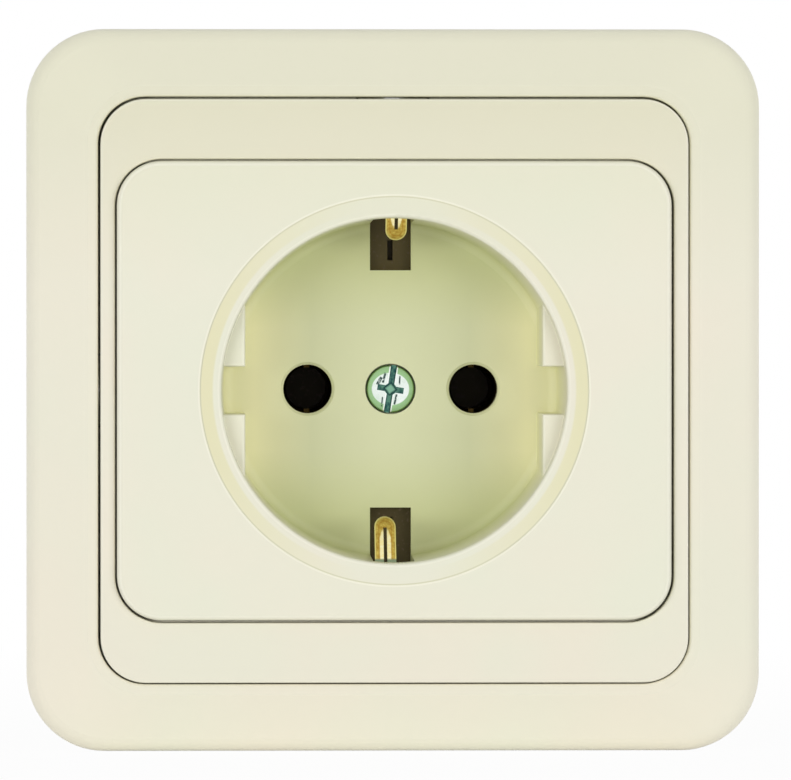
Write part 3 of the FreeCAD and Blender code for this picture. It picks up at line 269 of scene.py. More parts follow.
def metal(name, tones, smooth, rough, values):
    """A metal between a bright and a dull tone, with lines and pits in it."""
    material, tree, shader, surface = new_material(name, WORKED, values)
    shader.inputs["Metallic"].default_value = 1.0
    colour = blend_colours(tree, surface["Clouds"], *tones)
    tree.links.new(colour, shader.inputs["Base Color"])
    roughen(tree, shader, surface["Lines"], smooth, rough)
    relief(tree, shader, surface["Pits"], strength=0.1, depth=0.00002)
    return material, tree, shader, colour


BRASS = metal("rolled_brass", DARKENED_BRASS_TONES, smooth=0.35, rough=0.55, values={"Cloud Scale": 380.0})[0]
BLUED = metal("blued_spring_steel", BLUED_TONES, smooth=0.3, rough=0.5, values={})[0]
dress(BRASS, "live_contact", "neutral_contact", "captive_nut")
dress(BLUED, "live_contact_spring", "neutral_contact_spring")

# Earthing bridge: one punched and bent brass strip across the base. It ends in two spring fingers whose
# edges are rolled over. The brass has painted highlights beside each slit, painted shade and a painted
# pale highlight along the rolled edges, and a painted reflection at the bend.
FINGER_ROLL = 0.00045
FINGER_HALF = 0.0012
FINGER_BEND = 0.0191
CUP_MOUTH = 0.0195
TONGUE_START = 0.012
TONGUE_REAR = -0.002
TONGUE_FRONT = -0.0072
TONGUE_SLOPE = 0.8
MIDDLE_ZONE = 0.001
SKIN_DEPTH = 0.0003
SKIN_REACH = 0.0008
SLIT_HALF = 0.00025
SLIT_START = 0.0011
HIGHLIGHT_HALF = 0.0006
HIGHLIGHT_TIP_HALF = 0.0002
HIGHLIGHT_TAPER = 0.32
HIGHLIGHT_START = (SLIT_START + 0.0002, SLIT_START + 0.0006)
HIGHLIGHT_FADE = (0.00009, -0.00003)
ROLLED_EDGE_SHADE_BAND = (HIGHLIGHT_HALF + 0.00006, HIGHLIGHT_HALF + 0.00018)
ROLLED_EDGE_SHADE_BLUR = 0.00005
ROLLED_EDGE_SHADE_SHARE = 0.6
RIM_HIGHLIGHT_BAND = (FINGER_HALF - 0.00012, FINGER_HALF + 0.0001)
RIM_HIGHLIGHT_BLUR = 0.00003
BEND_REFLECTION_FADE = (-FINGER_BEND + 0.0001, -FINGER_BEND - 0.0001)
# Tones of the brass, of its painted highlights and painted edge shade, and of the painted reflection at
# the bend.
TARNISHED_TONES = (shade(212, 190, 94), shade(174, 138, 56))
HIGHLIGHT_TONES = (shade(255, 248, 200), shade(250, 232, 150))
ROLLED_EDGE_SHADE_TONE = shade(178, 128, 44)
RIM_HIGHLIGHT_TONE = shade(226, 216, 134)
BEND_REFLECTION_TONE = shade(128, 142, 112)
MERGE_DISTANCE = 0.000002
FLAT_ANGLE = math.radians(0.6)


def take_copy(node, name):
    """A copy of a CAD node's mesh, merged into one skin with flat faces, that stands for it."""
    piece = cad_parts[node].copy()
    piece.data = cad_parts[node].data.copy()
    piece.name = name
    bpy.context.collection.objects.link(piece)
    bpy.ops.object.select_all(action="DESELECT")
    piece.select_set(True)
    bpy.context.view_layer.objects.active = piece
    bpy.ops.mesh.customdata_custom_splitnormals_clear()
    bpy.ops.object.mode_set(mode="EDIT")
    bpy.ops.mesh.select_all(action="SELECT")
    bpy.ops.mesh.remove_doubles(threshold=MERGE_DISTANCE)
    bpy.ops.mesh.normals_make_consistent(inside=False)
    bpy.ops.mesh.dissolve_limited(angle_limit=FLAT_ANGLE)
    bpy.ops.object.mode_set(mode="OBJECT")
    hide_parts(node)
    return piece


def round_edges(piece, wanted, width, segments, sharpness=40.0):
    """Rounds the sharp edges of a piece for which wanted(first end, second end) is true."""
    bpy.ops.object.mode_set(mode="EDIT")
    bpy.ops.mesh.select_mode(type="EDGE")
    bpy.ops.mesh.select_all(action="DESELECT")
    bpy.ops.mesh.edges_select_sharp(sharpness=math.radians(sharpness))
    bpy.ops.object.mode_set(mode="OBJECT")
    points = piece.data.vertices
    chosen = []
    for edge in piece.data.edges:
        first, second = edge.vertices
        if edge.select and wanted(points[first].co, points[second].co):
            chosen.append(edge.index)
    bpy.ops.object.mode_set(mode="EDIT")
    bpy.ops.mesh.select_all(action="DESELECT")
    bpy.ops.object.mode_set(mode="OBJECT")
    for index in chosen:
        piece.data.edges[index].select = True
    bpy.ops.object.mode_set(mode="EDIT")
    bpy.ops.mesh.bevel(offset=width, segments=segments, profile=0.5, affect="EDGES", clamp_overlap=True)


def finish_piece(material, angle=32.0):
    """Smooths what is round on the piece in hand, and gives it its material and slot."""
    if bpy.context.mode != "OBJECT":
        bpy.ops.object.mode_set(mode="OBJECT")
    piece = bpy.context.object
    bpy.ops.object.shade_smooth_by_angle(angle=math.radians(angle))
    piece.data.materials.clear()
    piece.data.materials.append(material)
    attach(piece, "root")


earth = take_copy("earth_bridge", "earth_bridge_rolled")


def find_tongue(side):
    """The middle of the upper (1) or lower (-1) tongue, and how far from the axis its tip lies."""
    corners = [vertex.co for vertex in earth.data.vertices
               if vertex.co.z * side > TONGUE_START and vertex.co.y < TONGUE_REAR]
    across = [corner.x for corner in corners]
    return (min(across) + max(across)) / 2, min(abs(corner.z) for corner in corners)


upper_tongue = find_tongue(1)
lower_tongue = find_tongue(-1)


def on_rolled_edge(first, second):
    """True for the outline of a tongue's front skin, and false for its slit."""
    for point in (first, second):
        inward = max(0.0, CUP_MOUTH - abs(point.z))
        in_front = point.y < TONGUE_FRONT + TONGUE_SLOPE * inward + SKIN_DEPTH
        if not in_front or abs(point.z) >= CUP_MOUTH + SKIN_REACH:
            return False
        middle, tip = upper_tongue if point.z > 0 else lower_tongue
        if abs(point.x - middle) < SLIT_HALF and abs(point.z) > tip + SLIT_START:
            return False
    return True


def split_place(tree):
    """The three object coordinates of the point that is shaded."""
    split = add_node(tree, "ShaderNodeSeparateXYZ")
    tree.links.new(object_place(tree), split.inputs[0])
    return split.outputs["X"], split.outputs["Y"], split.outputs["Z"]


def distance(tree, first, second):
    """How far a point lies from the middle, from its two coordinates."""
    squares = combine(tree, "ADD", combine(tree, "POWER", first, 2), combine(tree, "POWER", second, 2))
    return combine(tree, "SQRT", squares)


def tongue_place(tree, height):
    """Distances of the point that is shaded, across from a tongue's middle and on from its tip."""
    across = split_place(tree)[0]
    (upper_middle, upper_tip), (lower_middle, lower_tip) = upper_tongue, lower_tongue
    upper = ramp(tree, height, -MIDDLE_ZONE, MIDDLE_ZONE)
    middle = combine(tree, "MULTIPLY_ADD", upper, upper_middle - lower_middle, lower_middle)
    tip = combine(tree, "MULTIPLY_ADD", upper, upper_tip - lower_tip, lower_tip)
    onward = combine(tree, "SUBTRACT", combine(tree, "ABSOLUTE", height), tip)
    return combine(tree, "SUBTRACT", across, middle), onward


def wiped_brass():
    """Tarnished brass with painted highlights by each slit, painted shade and highlight on the rolled
    edges, and a painted reflection at the bend.
    """
    material, tree, shader, surface = new_material("wiped_brass", WORKED, {"Cloud Scale": 2300.0})
    shader.inputs["Metallic"].default_value = 1.0
    height = split_place(tree)[2]
    beside, onward = tongue_place(tree, height)
    before = combine(tree, "MINIMUM", combine(tree, "SUBTRACT", onward, FINGER_HALF), 0)
    spread = distance(tree, beside, before)
    limit = combine(tree, "MULTIPLY_ADD", onward, HIGHLIGHT_TAPER, HIGHLIGHT_TIP_HALF - SLIT_START * HIGHLIGHT_TAPER)
    margin = combine(tree, "SUBTRACT", spread, combine(tree, "MINIMUM", limit, HIGHLIGHT_HALF))
    # Painted highlight beside each slit, painted shade and a painted pale highlight along the rolled
    # edges, painted reflection at the bend.
    painted_highlight = combine(tree, "MULTIPLY", ramp(tree, margin, *HIGHLIGHT_FADE), ramp(tree, onward, *HIGHLIGHT_START))
    painted_edge_shade = combine(tree, "MULTIPLY", band(tree, spread, *ROLLED_EDGE_SHADE_BAND, ROLLED_EDGE_SHADE_BLUR), ROLLED_EDGE_SHADE_SHARE)
    painted_rim = band(tree, spread, *RIM_HIGHLIGHT_BAND, RIM_HIGHLIGHT_BLUR)
    painted_bend_reflection = ramp(tree, height, *BEND_REFLECTION_FADE)
    highlight_colour = blend_colours(tree, surface["Clouds"], *HIGHLIGHT_TONES)
    colour = blend_colours(tree, surface["Clouds"], *TARNISHED_TONES)
    for mask, tone in ((painted_edge_shade, ROLLED_EDGE_SHADE_TONE), (painted_highlight, highlight_colour), (painted_rim, RIM_HIGHLIGHT_TONE), (painted_bend_reflection, BEND_REFLECTION_TONE)):
        colour = blend_colours(tree, mask, colour, tone)
    tree.links.new(colour, shader.inputs["Base Color"])
    roughen(tree, shader, surface["Lines"], low=0.2, high=0.4)
    relief(tree, shader, surface["Pits"], strength=0.2, depth=0.00002)
    return material


round_edges(earth, on_rolled_edge, FINGER_ROLL, segments=5)
finish_piece(wiped_brass())

# Support bracket: zinc-plated sheet steel, punched from the front, so its front edges are drawn in
# a little and its rear edges stay sharp.
BRACKET_DRAW = 0.00012
FRONT_MARGIN = 0.00001
ZINC_TONES = (shade(232, 236, 230), shade(204, 212, 206))
ZINC = metal("zinc_plate", ZINC_TONES, smooth=0.2, rough=0.38, values={"Cloud Scale": 420.0})[0]
bracket = take_copy("support_bracket", "support_bracket_punched")
bracket_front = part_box("support_bracket")[0].y
round_edges(bracket, lambda a, b: max(a.y, b.y) < bracket_front + FRONT_MARGIN, BRACKET_DRAW, segments=2)
finish_piece(ZINC)

# Rivets: four semi-tubular steel rivets through the bracket and the pillars of the base. Each has
# a flat domed head in front, and its tail is rolled over behind the pillar's foot.
RIVET_HEAD = 0.0026
RIVET_FLAT = 0.0004
RIVET_RISE = 0.0008
RIVET_SHANK = 0.0015
RIVET_SEGMENTS = 40
DOME_STEPS = 7
ROLL_STEPS = 5
RIVET_SMOOTHING = 40.0
TAIL_RADIUS = 0.0022
TAIL_MOUTH = 0.0013
TAIL_ROLL = 0.8 * RIVET_RISE
# Depth and radius, from the mouth of the tail inwards.
TAIL_HOLLOW = ((0.0004, 0.0008), (0.0006, 0.0003))


def draw_round(name, x, z, stations, segments):
    """A closed round body on the line x, z: each station is its place in y and its radius."""
    place, radius = stations[0]
    bpy.ops.object.select_all(action="DESELECT")
    bpy.ops.mesh.primitive_circle_add(vertices=segments, radius=radius, fill_type="NGON",
                                      location=(x, place, z), rotation=(math.pi / 2, 0, 0))
    bpy.ops.object.transform_apply(location=True, rotation=True, scale=True)
    bpy.context.object.name = name
    bpy.ops.object.mode_set(mode="EDIT")
    bpy.ops.mesh.select_all(action="SELECT")
    for next_place, next_radius in stations[1:]:
        share = next_radius / radius
        bpy.ops.mesh.extrude_region_move(TRANSFORM_OT_translate={"value": (0, next_place - place, 0)})
        bpy.ops.transform.resize(value=(share, 1, share), center_override=(x, next_place, z))
        place, radius = next_place, next_radius
    bpy.ops.mesh.select_all(action="SELECT")
    bpy.ops.mesh.normals_make_consistent(inside=False)
    bpy.ops.mesh.select_all(action="DESELECT")
    bpy.ops.object.mode_set(mode="OBJECT")
    return bpy.context.object


def dome(low_radius, high_radius, top, fall, steps):
    """Stations of a rounded shoulder, from its flat top out to its upright side."""
    stations = []
    for step in range(steps + 1):
        turn = math.pi / 2 * step / steps
        radius = low_radius + (high_radius - low_radius) * math.sin(turn)
        stations.append((top + fall * (1 - math.cos(turn)), radius))
    return stations


def join_pieces(pieces):
    """Joins objects into the first of them, which is left in hand."""
    bpy.ops.object.select_all(action="DESELECT")
    for piece in pieces:
        piece.select_set(True)
    bpy.context.view_layer.objects.active = pieces[0]
    bpy.ops.object.join()
    return pieces[0]


rivet_low, rivet_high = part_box("bracket_rivets")
rivet_place = rivet_high.x - RIVET_HEAD
tail_start = rivet_high.y - RIVET_RISE
tail_roll = dome(TAIL_MOUTH, TAIL_RADIUS, 0.0, TAIL_ROLL, ROLL_STEPS)
rivet_stations = dome(RIVET_FLAT, RIVET_HEAD, rivet_low.y, RIVET_RISE, DOME_STEPS)
rivet_stations += [(bracket_front, RIVET_SHANK), (tail_start, RIVET_SHANK), (tail_start, TAIL_RADIUS)]
for depth, radius in (*reversed(tail_roll), *TAIL_HOLLOW):
    rivet_stations.append((rivet_high.y - depth, radius))
rivets = []
for side_x in (1, -1):
    for side_z in (1, -1):
        rivets.append(draw_round("rivet", side_x * rivet_place, side_z * rivet_place,
                                 rivet_stations, RIVET_SEGMENTS))
join_pieces(rivets).name = "bracket_rivets_rolled"
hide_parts("bracket_rivets")
finish_piece(ZINC, RIVET_SMOOTHING)

# Terminals: a zinc-plated clamp plate under a domed screw, which pulls it onto the conductor. The
# screw's head has a full slot with a cross recess, and its shank a rolled thread.
THREAD_DEPTH = 0.00028
THREAD_PITCH = 0.0005
THREAD_STEPS = 24
THREAD_START = 0.0003
HEAD_SEGMENTS = 64
# From the middle outwards: shares of the head's height and of its radius.
HEAD_PROFILE = ((0.0, 0.05), (0.01, 0.4), (0.05, 0.74), (0.06, 0.77))
SHOULDER_TOP = 0.18
SHOULDER_FALL = 0.24
SHOULDER_RADIUS = 0.93
SHOULDER_STEPS = 6
POINT_SHARE = 0.45
SLOT_WIDTH = 0.00066
SLOT_DEPTH = 0.00085
SLOT_RUN = 2.4
CROSS_LENGTH = 0.003
CROSS_FOOT = 0.86
HEART_WIDTH = 0.0019
HEART_FOOT = 0.5
RECESS_EDGE = 0.00009
RECESS_MARGIN = 0.00002
RECESS_SHARPNESS = 30.0
SLIVER = 0.000001
SCREW_SMOOTHING = 40.0
TERMINAL_HEAD_HEIGHT = 0.0019
TERMINAL_SHANK = 0.0015


def wind_thread(x, z, start, end, core):
    """A 60 degree ridge of triangular section, wound round a shank's core."""
    section_radius = THREAD_PITCH / math.sqrt(3)
    section_height = 1.5 * section_radius
    bpy.ops.object.select_all(action="DESELECT")
    bpy.ops.mesh.primitive_circle_add(vertices=3, radius=section_radius, fill_type="NOTHING",
                                      location=(x, start, z), rotation=(0, 0, -math.pi / 2))
    bpy.ops.object.transform_apply(location=False, rotation=True, scale=True)
    bpy.ops.object.mode_set(mode="EDIT")
    bpy.ops.mesh.select_all(action="SELECT")
    bpy.ops.transform.resize(value=(THREAD_DEPTH / section_height, 1, 1), center_override=(x, start, z))
    bpy.ops.transform.translate(value=(core + THREAD_DEPTH / 3, 0, 0))
    bpy.ops.object.mode_set(mode="OBJECT")
    ridge = bpy.context.object
    wind = ridge.modifiers.new("wind", "SCREW")
    wind.axis = "Y"
    wind.steps = THREAD_STEPS
    wind.render_steps = THREAD_STEPS
    wind.screw_offset = THREAD_PITCH
    wind.iterations = int((end - start) / THREAD_PITCH)
    bpy.ops.object.modifier_apply(modifier="wind")
    bpy.ops.object.transform_apply(location=True, rotation=True, scale=True)
    bpy.ops.object.mode_set(mode="EDIT")
    bpy.ops.mesh.select_all(action="SELECT")
    bpy.ops.mesh.fill_holes(sides=3)
    bpy.ops.mesh.select_all(action="SELECT")
    bpy.ops.mesh.normals_make_consistent(inside=False)
    bpy.ops.object.mode_set(mode="OBJECT")
    return ridge


def bar_tool(middle, turn, wide, high):
    """A flat bar for a slot or an arm of the cross, half of it in front of the head."""
    bpy.ops.object.select_all(action="DESELECT")
    bpy.ops.mesh.primitive_cube_add(size=1, location=middle, rotation=(0, turn, 0),
                                    scale=(wide, 2 * SLOT_DEPTH, high))
    return bpy.context.object


def heart_tool(middle, turn):
    """A square pin, set on its corner, for the heart of the cross."""
    bpy.ops.object.select_all(action="DESELECT")
    bpy.ops.mesh.primitive_cylinder_add(vertices=4, radius=HEART_WIDTH / 2, depth=2 * SLOT_DEPTH,
                                        location=middle, rotation=(math.pi / 2, 0, 0))
    bpy.ops.transform.rotate(value=-turn, orient_axis="Y", center_override=middle)
    return bpy.context.object


def press_recess(head, tool, middle, into, foot):
    """Cuts a tool out of a head, after its walls are leant in to this share of their size at its foot."""
    bpy.ops.object.transform_apply(location=True, rotation=True, scale=True)
    for vertex in tool.data.vertices:
        vertex.select = (vertex.co.y - middle[1]) * into > 0
    bpy.ops.object.mode_set(mode="EDIT")
    bpy.ops.transform.resize(value=(foot, 1, foot), center_override=middle)
    bpy.ops.object.mode_set(mode="OBJECT")
    bpy.ops.object.select_all(action="DESELECT")
    bpy.context.view_layer.objects.active = head
    head.select_set(True)
    cut = head.modifiers.new("cut", "BOOLEAN")
    cut.operation = "DIFFERENCE"
    cut.solver = "EXACT"
    cut.object = tool
    bpy.ops.object.modifier_apply(modifier="cut")
    bpy.data.objects.remove(tool)


def turn_screw(name, x, z, front, seat, end, head, shank, turn):
    """A domed screw with slot, cross recess and thread, from the front of its head to its end."""
    into = 1 if end > front else -1
    height = abs(seat - front)
    core = shank - THREAD_DEPTH
    stations = [(front + into * height * fall, head * share) for fall, share in HEAD_PROFILE]
    shoulder = dome(head * SHOULDER_RADIUS, head, height * SHOULDER_TOP, height * SHOULDER_FALL,
                    SHOULDER_STEPS)
    stations += [(front + into * fall, radius) for fall, radius in shoulder]
    stations += [(seat, head), (seat, core), (end - into * core, core), (end, core * POINT_SHARE)]
    body = draw_round(name, x, z, stations, HEAD_SEGMENTS)
    middle = (x, front, z)
    press_recess(body, bar_tool(middle, turn, SLOT_WIDTH, SLOT_RUN * head), middle, into, foot=1.0)
    press_recess(body, bar_tool(middle, turn, CROSS_LENGTH, SLOT_WIDTH), middle, into, CROSS_FOOT)
    press_recess(body, heart_tool(middle, turn), middle, into, HEART_FOOT)
    low, high = sorted((front - into * RECESS_MARGIN, front + into * (SLOT_DEPTH + RECESS_MARGIN)))
    round_edges(body, lambda a, b: low < min(a.y, b.y) and max(a.y, b.y) < high, RECESS_EDGE,
                segments=2, sharpness=RECESS_SHARPNESS)
    bpy.ops.mesh.select_all(action="SELECT")
    bpy.ops.mesh.dissolve_degenerate(threshold=SLIVER)
    bpy.ops.mesh.normals_make_consistent(inside=False)
    bpy.ops.object.mode_set(mode="OBJECT")
    first, last = sorted((seat + into * THREAD_START, end - into * core))
    return join_pieces([body, wind_thread(x, z, first, last - THREAD_PITCH, core)])


dress(ZINC, "live_clamp_plate", "neutral_clamp_plate", "earth_clamp_plate")
for pole, degrees in (("live", 24.0), ("neutral", 71.0), ("earth", 132.0)):
    node = pole + "_terminal_screw"
    low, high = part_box(node)
    middle = (low + high) / 2
    turn_screw(node + "_threaded", middle.x, middle.z, front=low.y, seat=low.y + TERMINAL_HEAD_HEIGHT,
               end=high.y, head=(high.x - low.x) / 2, shank=TERMINAL_SHANK, turn=math.radians(degrees))
    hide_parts(node)
    finish_piece(ZINC, SCREW_SMOOTHING)

# Lid screws: two zinc-plated screws, driven from the rear, that hold the lid to the base. They
# stand in opposite corners, each with its slot at its own angle.
LID_SCREW_HEAD = 0.0022
LID_SCREW_SHANK = 0.0011
LID_SCREW_RISE = 0.0011
lid_low, lid_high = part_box("lid_screws")
lid_screws = []
for side, degrees in ((1, 38.0), (-1, 110.0)):
    lid_screws.append(turn_screw(
        "lid_screw", -side * (lid_high.x - LID_SCREW_HEAD), side * (lid_high.z - LID_SCREW_HEAD),
        front=lid_high.y, seat=lid_high.y - LID_SCREW_RISE, end=lid_low.y,
        head=LID_SCREW_HEAD, shank=LID_SCREW_SHANK, turn=math.radians(degrees)))
join_pieces(lid_screws).name = "lid_screws_threaded"
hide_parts("lid_screws")
finish_piece(ZINC, SCREW_SMOOTHING)

# Outer frame and inner bezel: cream thermoplastic mouldings with a satin gloss. The bezel drops
# into the frame, and the plate presses both onto the bracket.
# Painted shade: the heights between which the cream turns darker and yellower towards the top.
TOP_SHADE_FROM = (0.012, 0.032)
# How strong the painted highlights along edges and on rounds are, and their tone.
ROUND_HIGHLIGHT_SHARE = 0.42
EDGE_HIGHLIGHT_FULL = 1.15
EDGE_HIGHLIGHT_TONE = shade(254, 252, 236)
# How far the frame's faces look out of the wall where they lie flat, and where they stand steep.
LIES_FLAT = (0.965, 0.985)
STANDS_STEEP = (0.92, 0.45)
# How much painted shade the flat faces get, and how much painted light the steep ones.
FLAT_PAINTED_SHADE = -0.045
STEEP_PAINTED_LIGHT = 0.13


def cream_moulding(name, body, painted_top_shade, smooth, rough, patch_scale, highlight_rounds=True):
    """Cream plastic with faint warm patches, painted shade towards the top and painted highlights along
    its edges.
    """
    material, tree, shader, surface = new_material(
        name, MOULDED, {"Patch Scale": patch_scale, "Texture Scale": 1700.0})
    colour = blend_colours(tree, surface["Patches"], *body)
    height = split_place(tree)[2]
    # Painted shade, darker and yellower towards the top.
    colour = blend_colours(tree, ramp(tree, height, *TOP_SHADE_FROM), colour, painted_top_shade)
    # Painted highlights: paler colour along the edges and, where chosen, on the rounded faces.
    edges = surface["Edges"]
    if highlight_rounds:
        round_highlights = combine(tree, "MULTIPLY", surface["Rounds"], ROUND_HIGHLIGHT_SHARE)
        edges = combine(tree, "MAXIMUM", edges, round_highlights)
    colour = blend_colours(tree, ramp(tree, edges, high=EDGE_HIGHLIGHT_FULL), colour, EDGE_HIGHLIGHT_TONE)
    tree.links.new(colour, shader.inputs["Base Color"])
    roughen(tree, shader, surface["Texture"], smooth, rough)
    relief(tree, shader, surface["Texture"], strength=0.12, depth=0.00003)
    return material, tree, shader, colour


def cream_frame():
    """The frame's cream, with painted shade where it lies flat and painted light on its steep sides."""
    material, tree, shader, colour = cream_moulding(
        "cream_frame", (shade(237, 235, 216), shade(240, 234, 216)), painted_top_shade=shade(231, 229, 206),
        smooth=0.34, rough=0.46, patch_scale=48.0, highlight_rounds=False)
    facing = facing_share(tree)
    # Painted shade on the flat faces and painted light on the steep ones.
    level = combine(tree, "MULTIPLY_ADD", ramp(tree, facing, *LIES_FLAT), FLAT_PAINTED_SHADE, 1.0)
    level = combine(tree, "MULTIPLY_ADD", ramp(tree, facing, *STANDS_STEEP), STEEP_PAINTED_LIGHT, level)
    painted_light_and_shade = add_node(tree, "ShaderNodeHueSaturation")
    tree.links.new(colour, painted_light_and_shade.inputs["Color"])
    tree.links.new(level, painted_light_and_shade.inputs["Value"])
    tree.links.new(painted_light_and_shade.outputs["Color"], shader.inputs["Base Color"])
    return material


CREAM_BEZEL = cream_moulding(
    "cream_bezel", (shade(232, 230, 212), shade(235, 229, 212)), painted_top_shade=shade(224, 221, 196),
    smooth=0.3, rough=0.42, patch_scale=66.0)[0]
dress(cream_frame(), "outer_frame")
dress(CREAM_BEZEL, "inner_bezel")

# Locating tabs: four small cream tabs behind the bezel, in the notches of the frame's ledge. They
# keep the bezel from turning and close the view through the gap beside it.
TAB_WIDTH = 0.0078
TAB_REACH = 0.0019
TAB_RISE = 0.0009
TAB_BEVEL = 0.00015
BEZEL_GAP = 0.0002
bezel_low, bezel_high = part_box("inner_bezel")
tab_middle = bezel_high.y + TAB_RISE / 2
tabs = []
for side_x, side_z in ((1, 0), (-1, 0), (0, 1), (0, -1)):
    corner = bezel_high if side_x + side_z > 0 else bezel_low
    edge = abs(corner.x if side_x else corner.z)
    outward = edge + BEZEL_GAP - TAB_REACH / 2
    wide, tall = (TAB_REACH, TAB_WIDTH) if side_x else (TAB_WIDTH, TAB_REACH)
    bpy.ops.object.select_all(action="DESELECT")
    bpy.ops.mesh.primitive_cube_add(
        size=1, location=(side_x * outward, tab_middle, side_z * outward), scale=(wide, TAB_RISE, tall))
    bpy.ops.object.transform_apply(location=True, rotation=True, scale=True)
    tab = bpy.context.object
    round_edges(tab, lambda a, b: min(a.y, b.y) > tab_middle, TAB_BEVEL, segments=2)
    bpy.ops.object.mode_set(mode="OBJECT")
    tabs.append(tab)
join_pieces(tabs).name = "bezel_tabs"
finish_piece(CREAM_BEZEL)

# Centre plate with the plug recess: one cream moulding, glossier than the frame. Down in the recess its
# colour is painted deeper and yellower as painted shade and bounced light, and paler at the sides as
# painted light.
RECESS_LIP = -0.0104
RECESS_FLOOR = 0.0071
RING_OUTSIDE = 0.022
RING_INSIDE = 0.0205
RING_FLAT = (RING_INSIDE, RING_OUTSIDE - 0.0001)
RING_BLUR = 0.00012
RING_SHADOW_LINE = (RING_OUTSIDE - 0.00018, RING_OUTSIDE - 0.00004)
RING_HIGHLIGHT_LINE = (RING_OUTSIDE, RING_OUTSIDE + 0.00016)
RING_SIDES = (0.004, 0.021)
RING_DEPTH = (RECESS_LIP + 0.0006, RECESS_LIP + 0.0003)
PINS_TO_SIDES = (0.009, 0.0155)
PINS_TO_WINDOWS = (0.007, 0.0145)
GUIDE_EDGE = (0.0158, 0.0172)
LINE_BLUR = 0.00004
# Painted shade and light in the recess: tones of its middle, sides, windows and guides.
MIDDLE_SHADE_TONE = shade(213, 216, 178)
SIDE_LIGHT_TONE = shade(245, 242, 198)
WINDOW_SHADE_TONE = shade(211, 215, 165)
GUIDE_LIGHT_TONE = shade(241, 239, 196)
# Painted shade on the ring, painted shadow in the step at its edge, and a painted highlight just outside
# it.
RING_SHADE_TONE = shade(229, 225, 188)
RING_SHADOW_TONE = shade(214, 212, 184)
RING_HIGHLIGHT_TONE = shade(243, 241, 223)


def recess_painted_light_and_shade(tree, beside, above):
    """Painted shade and light of the recess: greenish in its middle and towards the windows, pale at the
    guides.
    """
    colour = blend_colours(tree, ramp(tree, beside, *PINS_TO_SIDES), MIDDLE_SHADE_TONE, SIDE_LIGHT_TONE)
    colour = blend_colours(tree, ramp(tree, above, *PINS_TO_WINDOWS), colour, WINDOW_SHADE_TONE)
    return blend_colours(tree, ramp(tree, beside, *GUIDE_EDGE), colour, GUIDE_LIGHT_TONE)


def cream_cover():
    """The cover's cream, with painted shade in the recess and on a ring round it, between a painted
    shadow line and a painted highlight line.
    """
    material, tree, shader, colour = cream_moulding(
        "cream_cover", (shade(232, 232, 213), shade(235, 231, 213)), painted_top_shade=shade(228, 227, 202),
        smooth=0.28, rough=0.4, patch_scale=60.0)
    across, inward, up = split_place(tree)
    beside = combine(tree, "ABSOLUTE", across)
    above = combine(tree, "ABSOLUTE", up)
    # Painted shade: deeper and yellower down towards the recess floor.
    depth = ramp(tree, inward, RECESS_LIP, RECESS_FLOOR)
    colour = blend_colours(tree, depth, colour, recess_painted_light_and_shade(tree, beside, above))
    radius = distance(tree, across, up)
    in_front = ramp(tree, inward, *RING_DEPTH)
    flat_ring = band(tree, radius, *RING_FLAT, RING_BLUR)
    shaded_ring = combine(tree, "MULTIPLY", flat_ring, ramp(tree, beside, *RING_SIDES))
    ring_shadow = band(tree, radius, *RING_SHADOW_LINE, LINE_BLUR)
    ring_highlight = band(tree, radius, *RING_HIGHLIGHT_LINE, LINE_BLUR)
    # Painted shade on the ring, painted shadow line at its step and painted highlight line outside it.
    for mask, tone in ((shaded_ring, RING_SHADE_TONE), (ring_shadow, RING_SHADOW_TONE), (ring_highlight, RING_HIGHLIGHT_TONE)):
        colour = blend_colours(tree, combine(tree, "MULTIPLY", mask, in_front), colour, tone)
    tree.links.new(colour, shader.inputs["Base Color"])
    return material


dress(cream_cover(), "socket_cover")

# Cover screw: the one screw of the front, zinc-plated with a greenish cast, in its seat in the middle of
# the recess. It draws plate, bezel and frame onto the bracket. A painted greenish reflection lies round
# its dome, a painted highlight beside its slot and painted shade down in its recess.
SCREW_HEAD_HEIGHT = 0.0018
SCREW_SHANK = 0.0015
SCREW_TURN = math.radians(9.0)
RECESS_BLUR = 0.00003
HEART_BLUR = 0.00004
HEART_CORE = (HEART_WIDTH * 0.34, HEART_WIDTH * 0.2)
HEART_RIM = (HEART_WIDTH * 0.34, HEART_WIDTH * 0.43)
PAST_HEART = (HEART_WIDTH * 0.44, HEART_WIDTH * 0.5)
WALL_FOOT = (SLOT_WIDTH * 0.38, SLOT_WIDTH * 0.5)
SLOT_LIP_HIGHLIGHT = (SLOT_WIDTH / 2 + 0.00004, SLOT_WIDTH / 2 + 0.00016)
DOME_TONES = (shade(244, 250, 246), shade(222, 236, 224))
# Painted reflection round the dome's rim, painted highlight beside the slot, painted shade and light in
# the recess.
DOME_REFLECTION_TONE = shade(160, 200, 146)
DOME_REFLECTION_STRETCH = 1.15
DOME_REFLECTION_RIM = (0.76, 0.8)
RECESS_SHADE_TONES = (shade(44, 84, 82), shade(92, 138, 118))
WALL_FOOT_SHADE_TONE = shade(28, 62, 60)
HEART_LIGHT_TONE = shade(132, 180, 152)
LIP_HIGHLIGHT_TONE = shade(250, 255, 250)
MARK_TONE = shade(30, 66, 60)
MARK_FADE = (0.00005, -0.00002)
MARK_BLUR = 0.00006
MARK_GRAIN = 3600.0
RECESS_GRAIN = 2400.0
# Each mark: where it starts and ends on the head, and how wide it is.
DRIVER_MARKS = (
    ((-0.00150, 0.00050), (-0.00105, 0.00135), 0.00034),
    ((-0.00088, 0.00072), (-0.00058, 0.00186), 0.00022),
    ((0.00102, 0.00052), (0.00108, 0.00146), 0.00014),
    ((0.00070, -0.00062), (0.00044, -0.00178), 0.00018),
    ((-0.00092, -0.00092), (-0.00102, -0.00200), 0.00012),
)


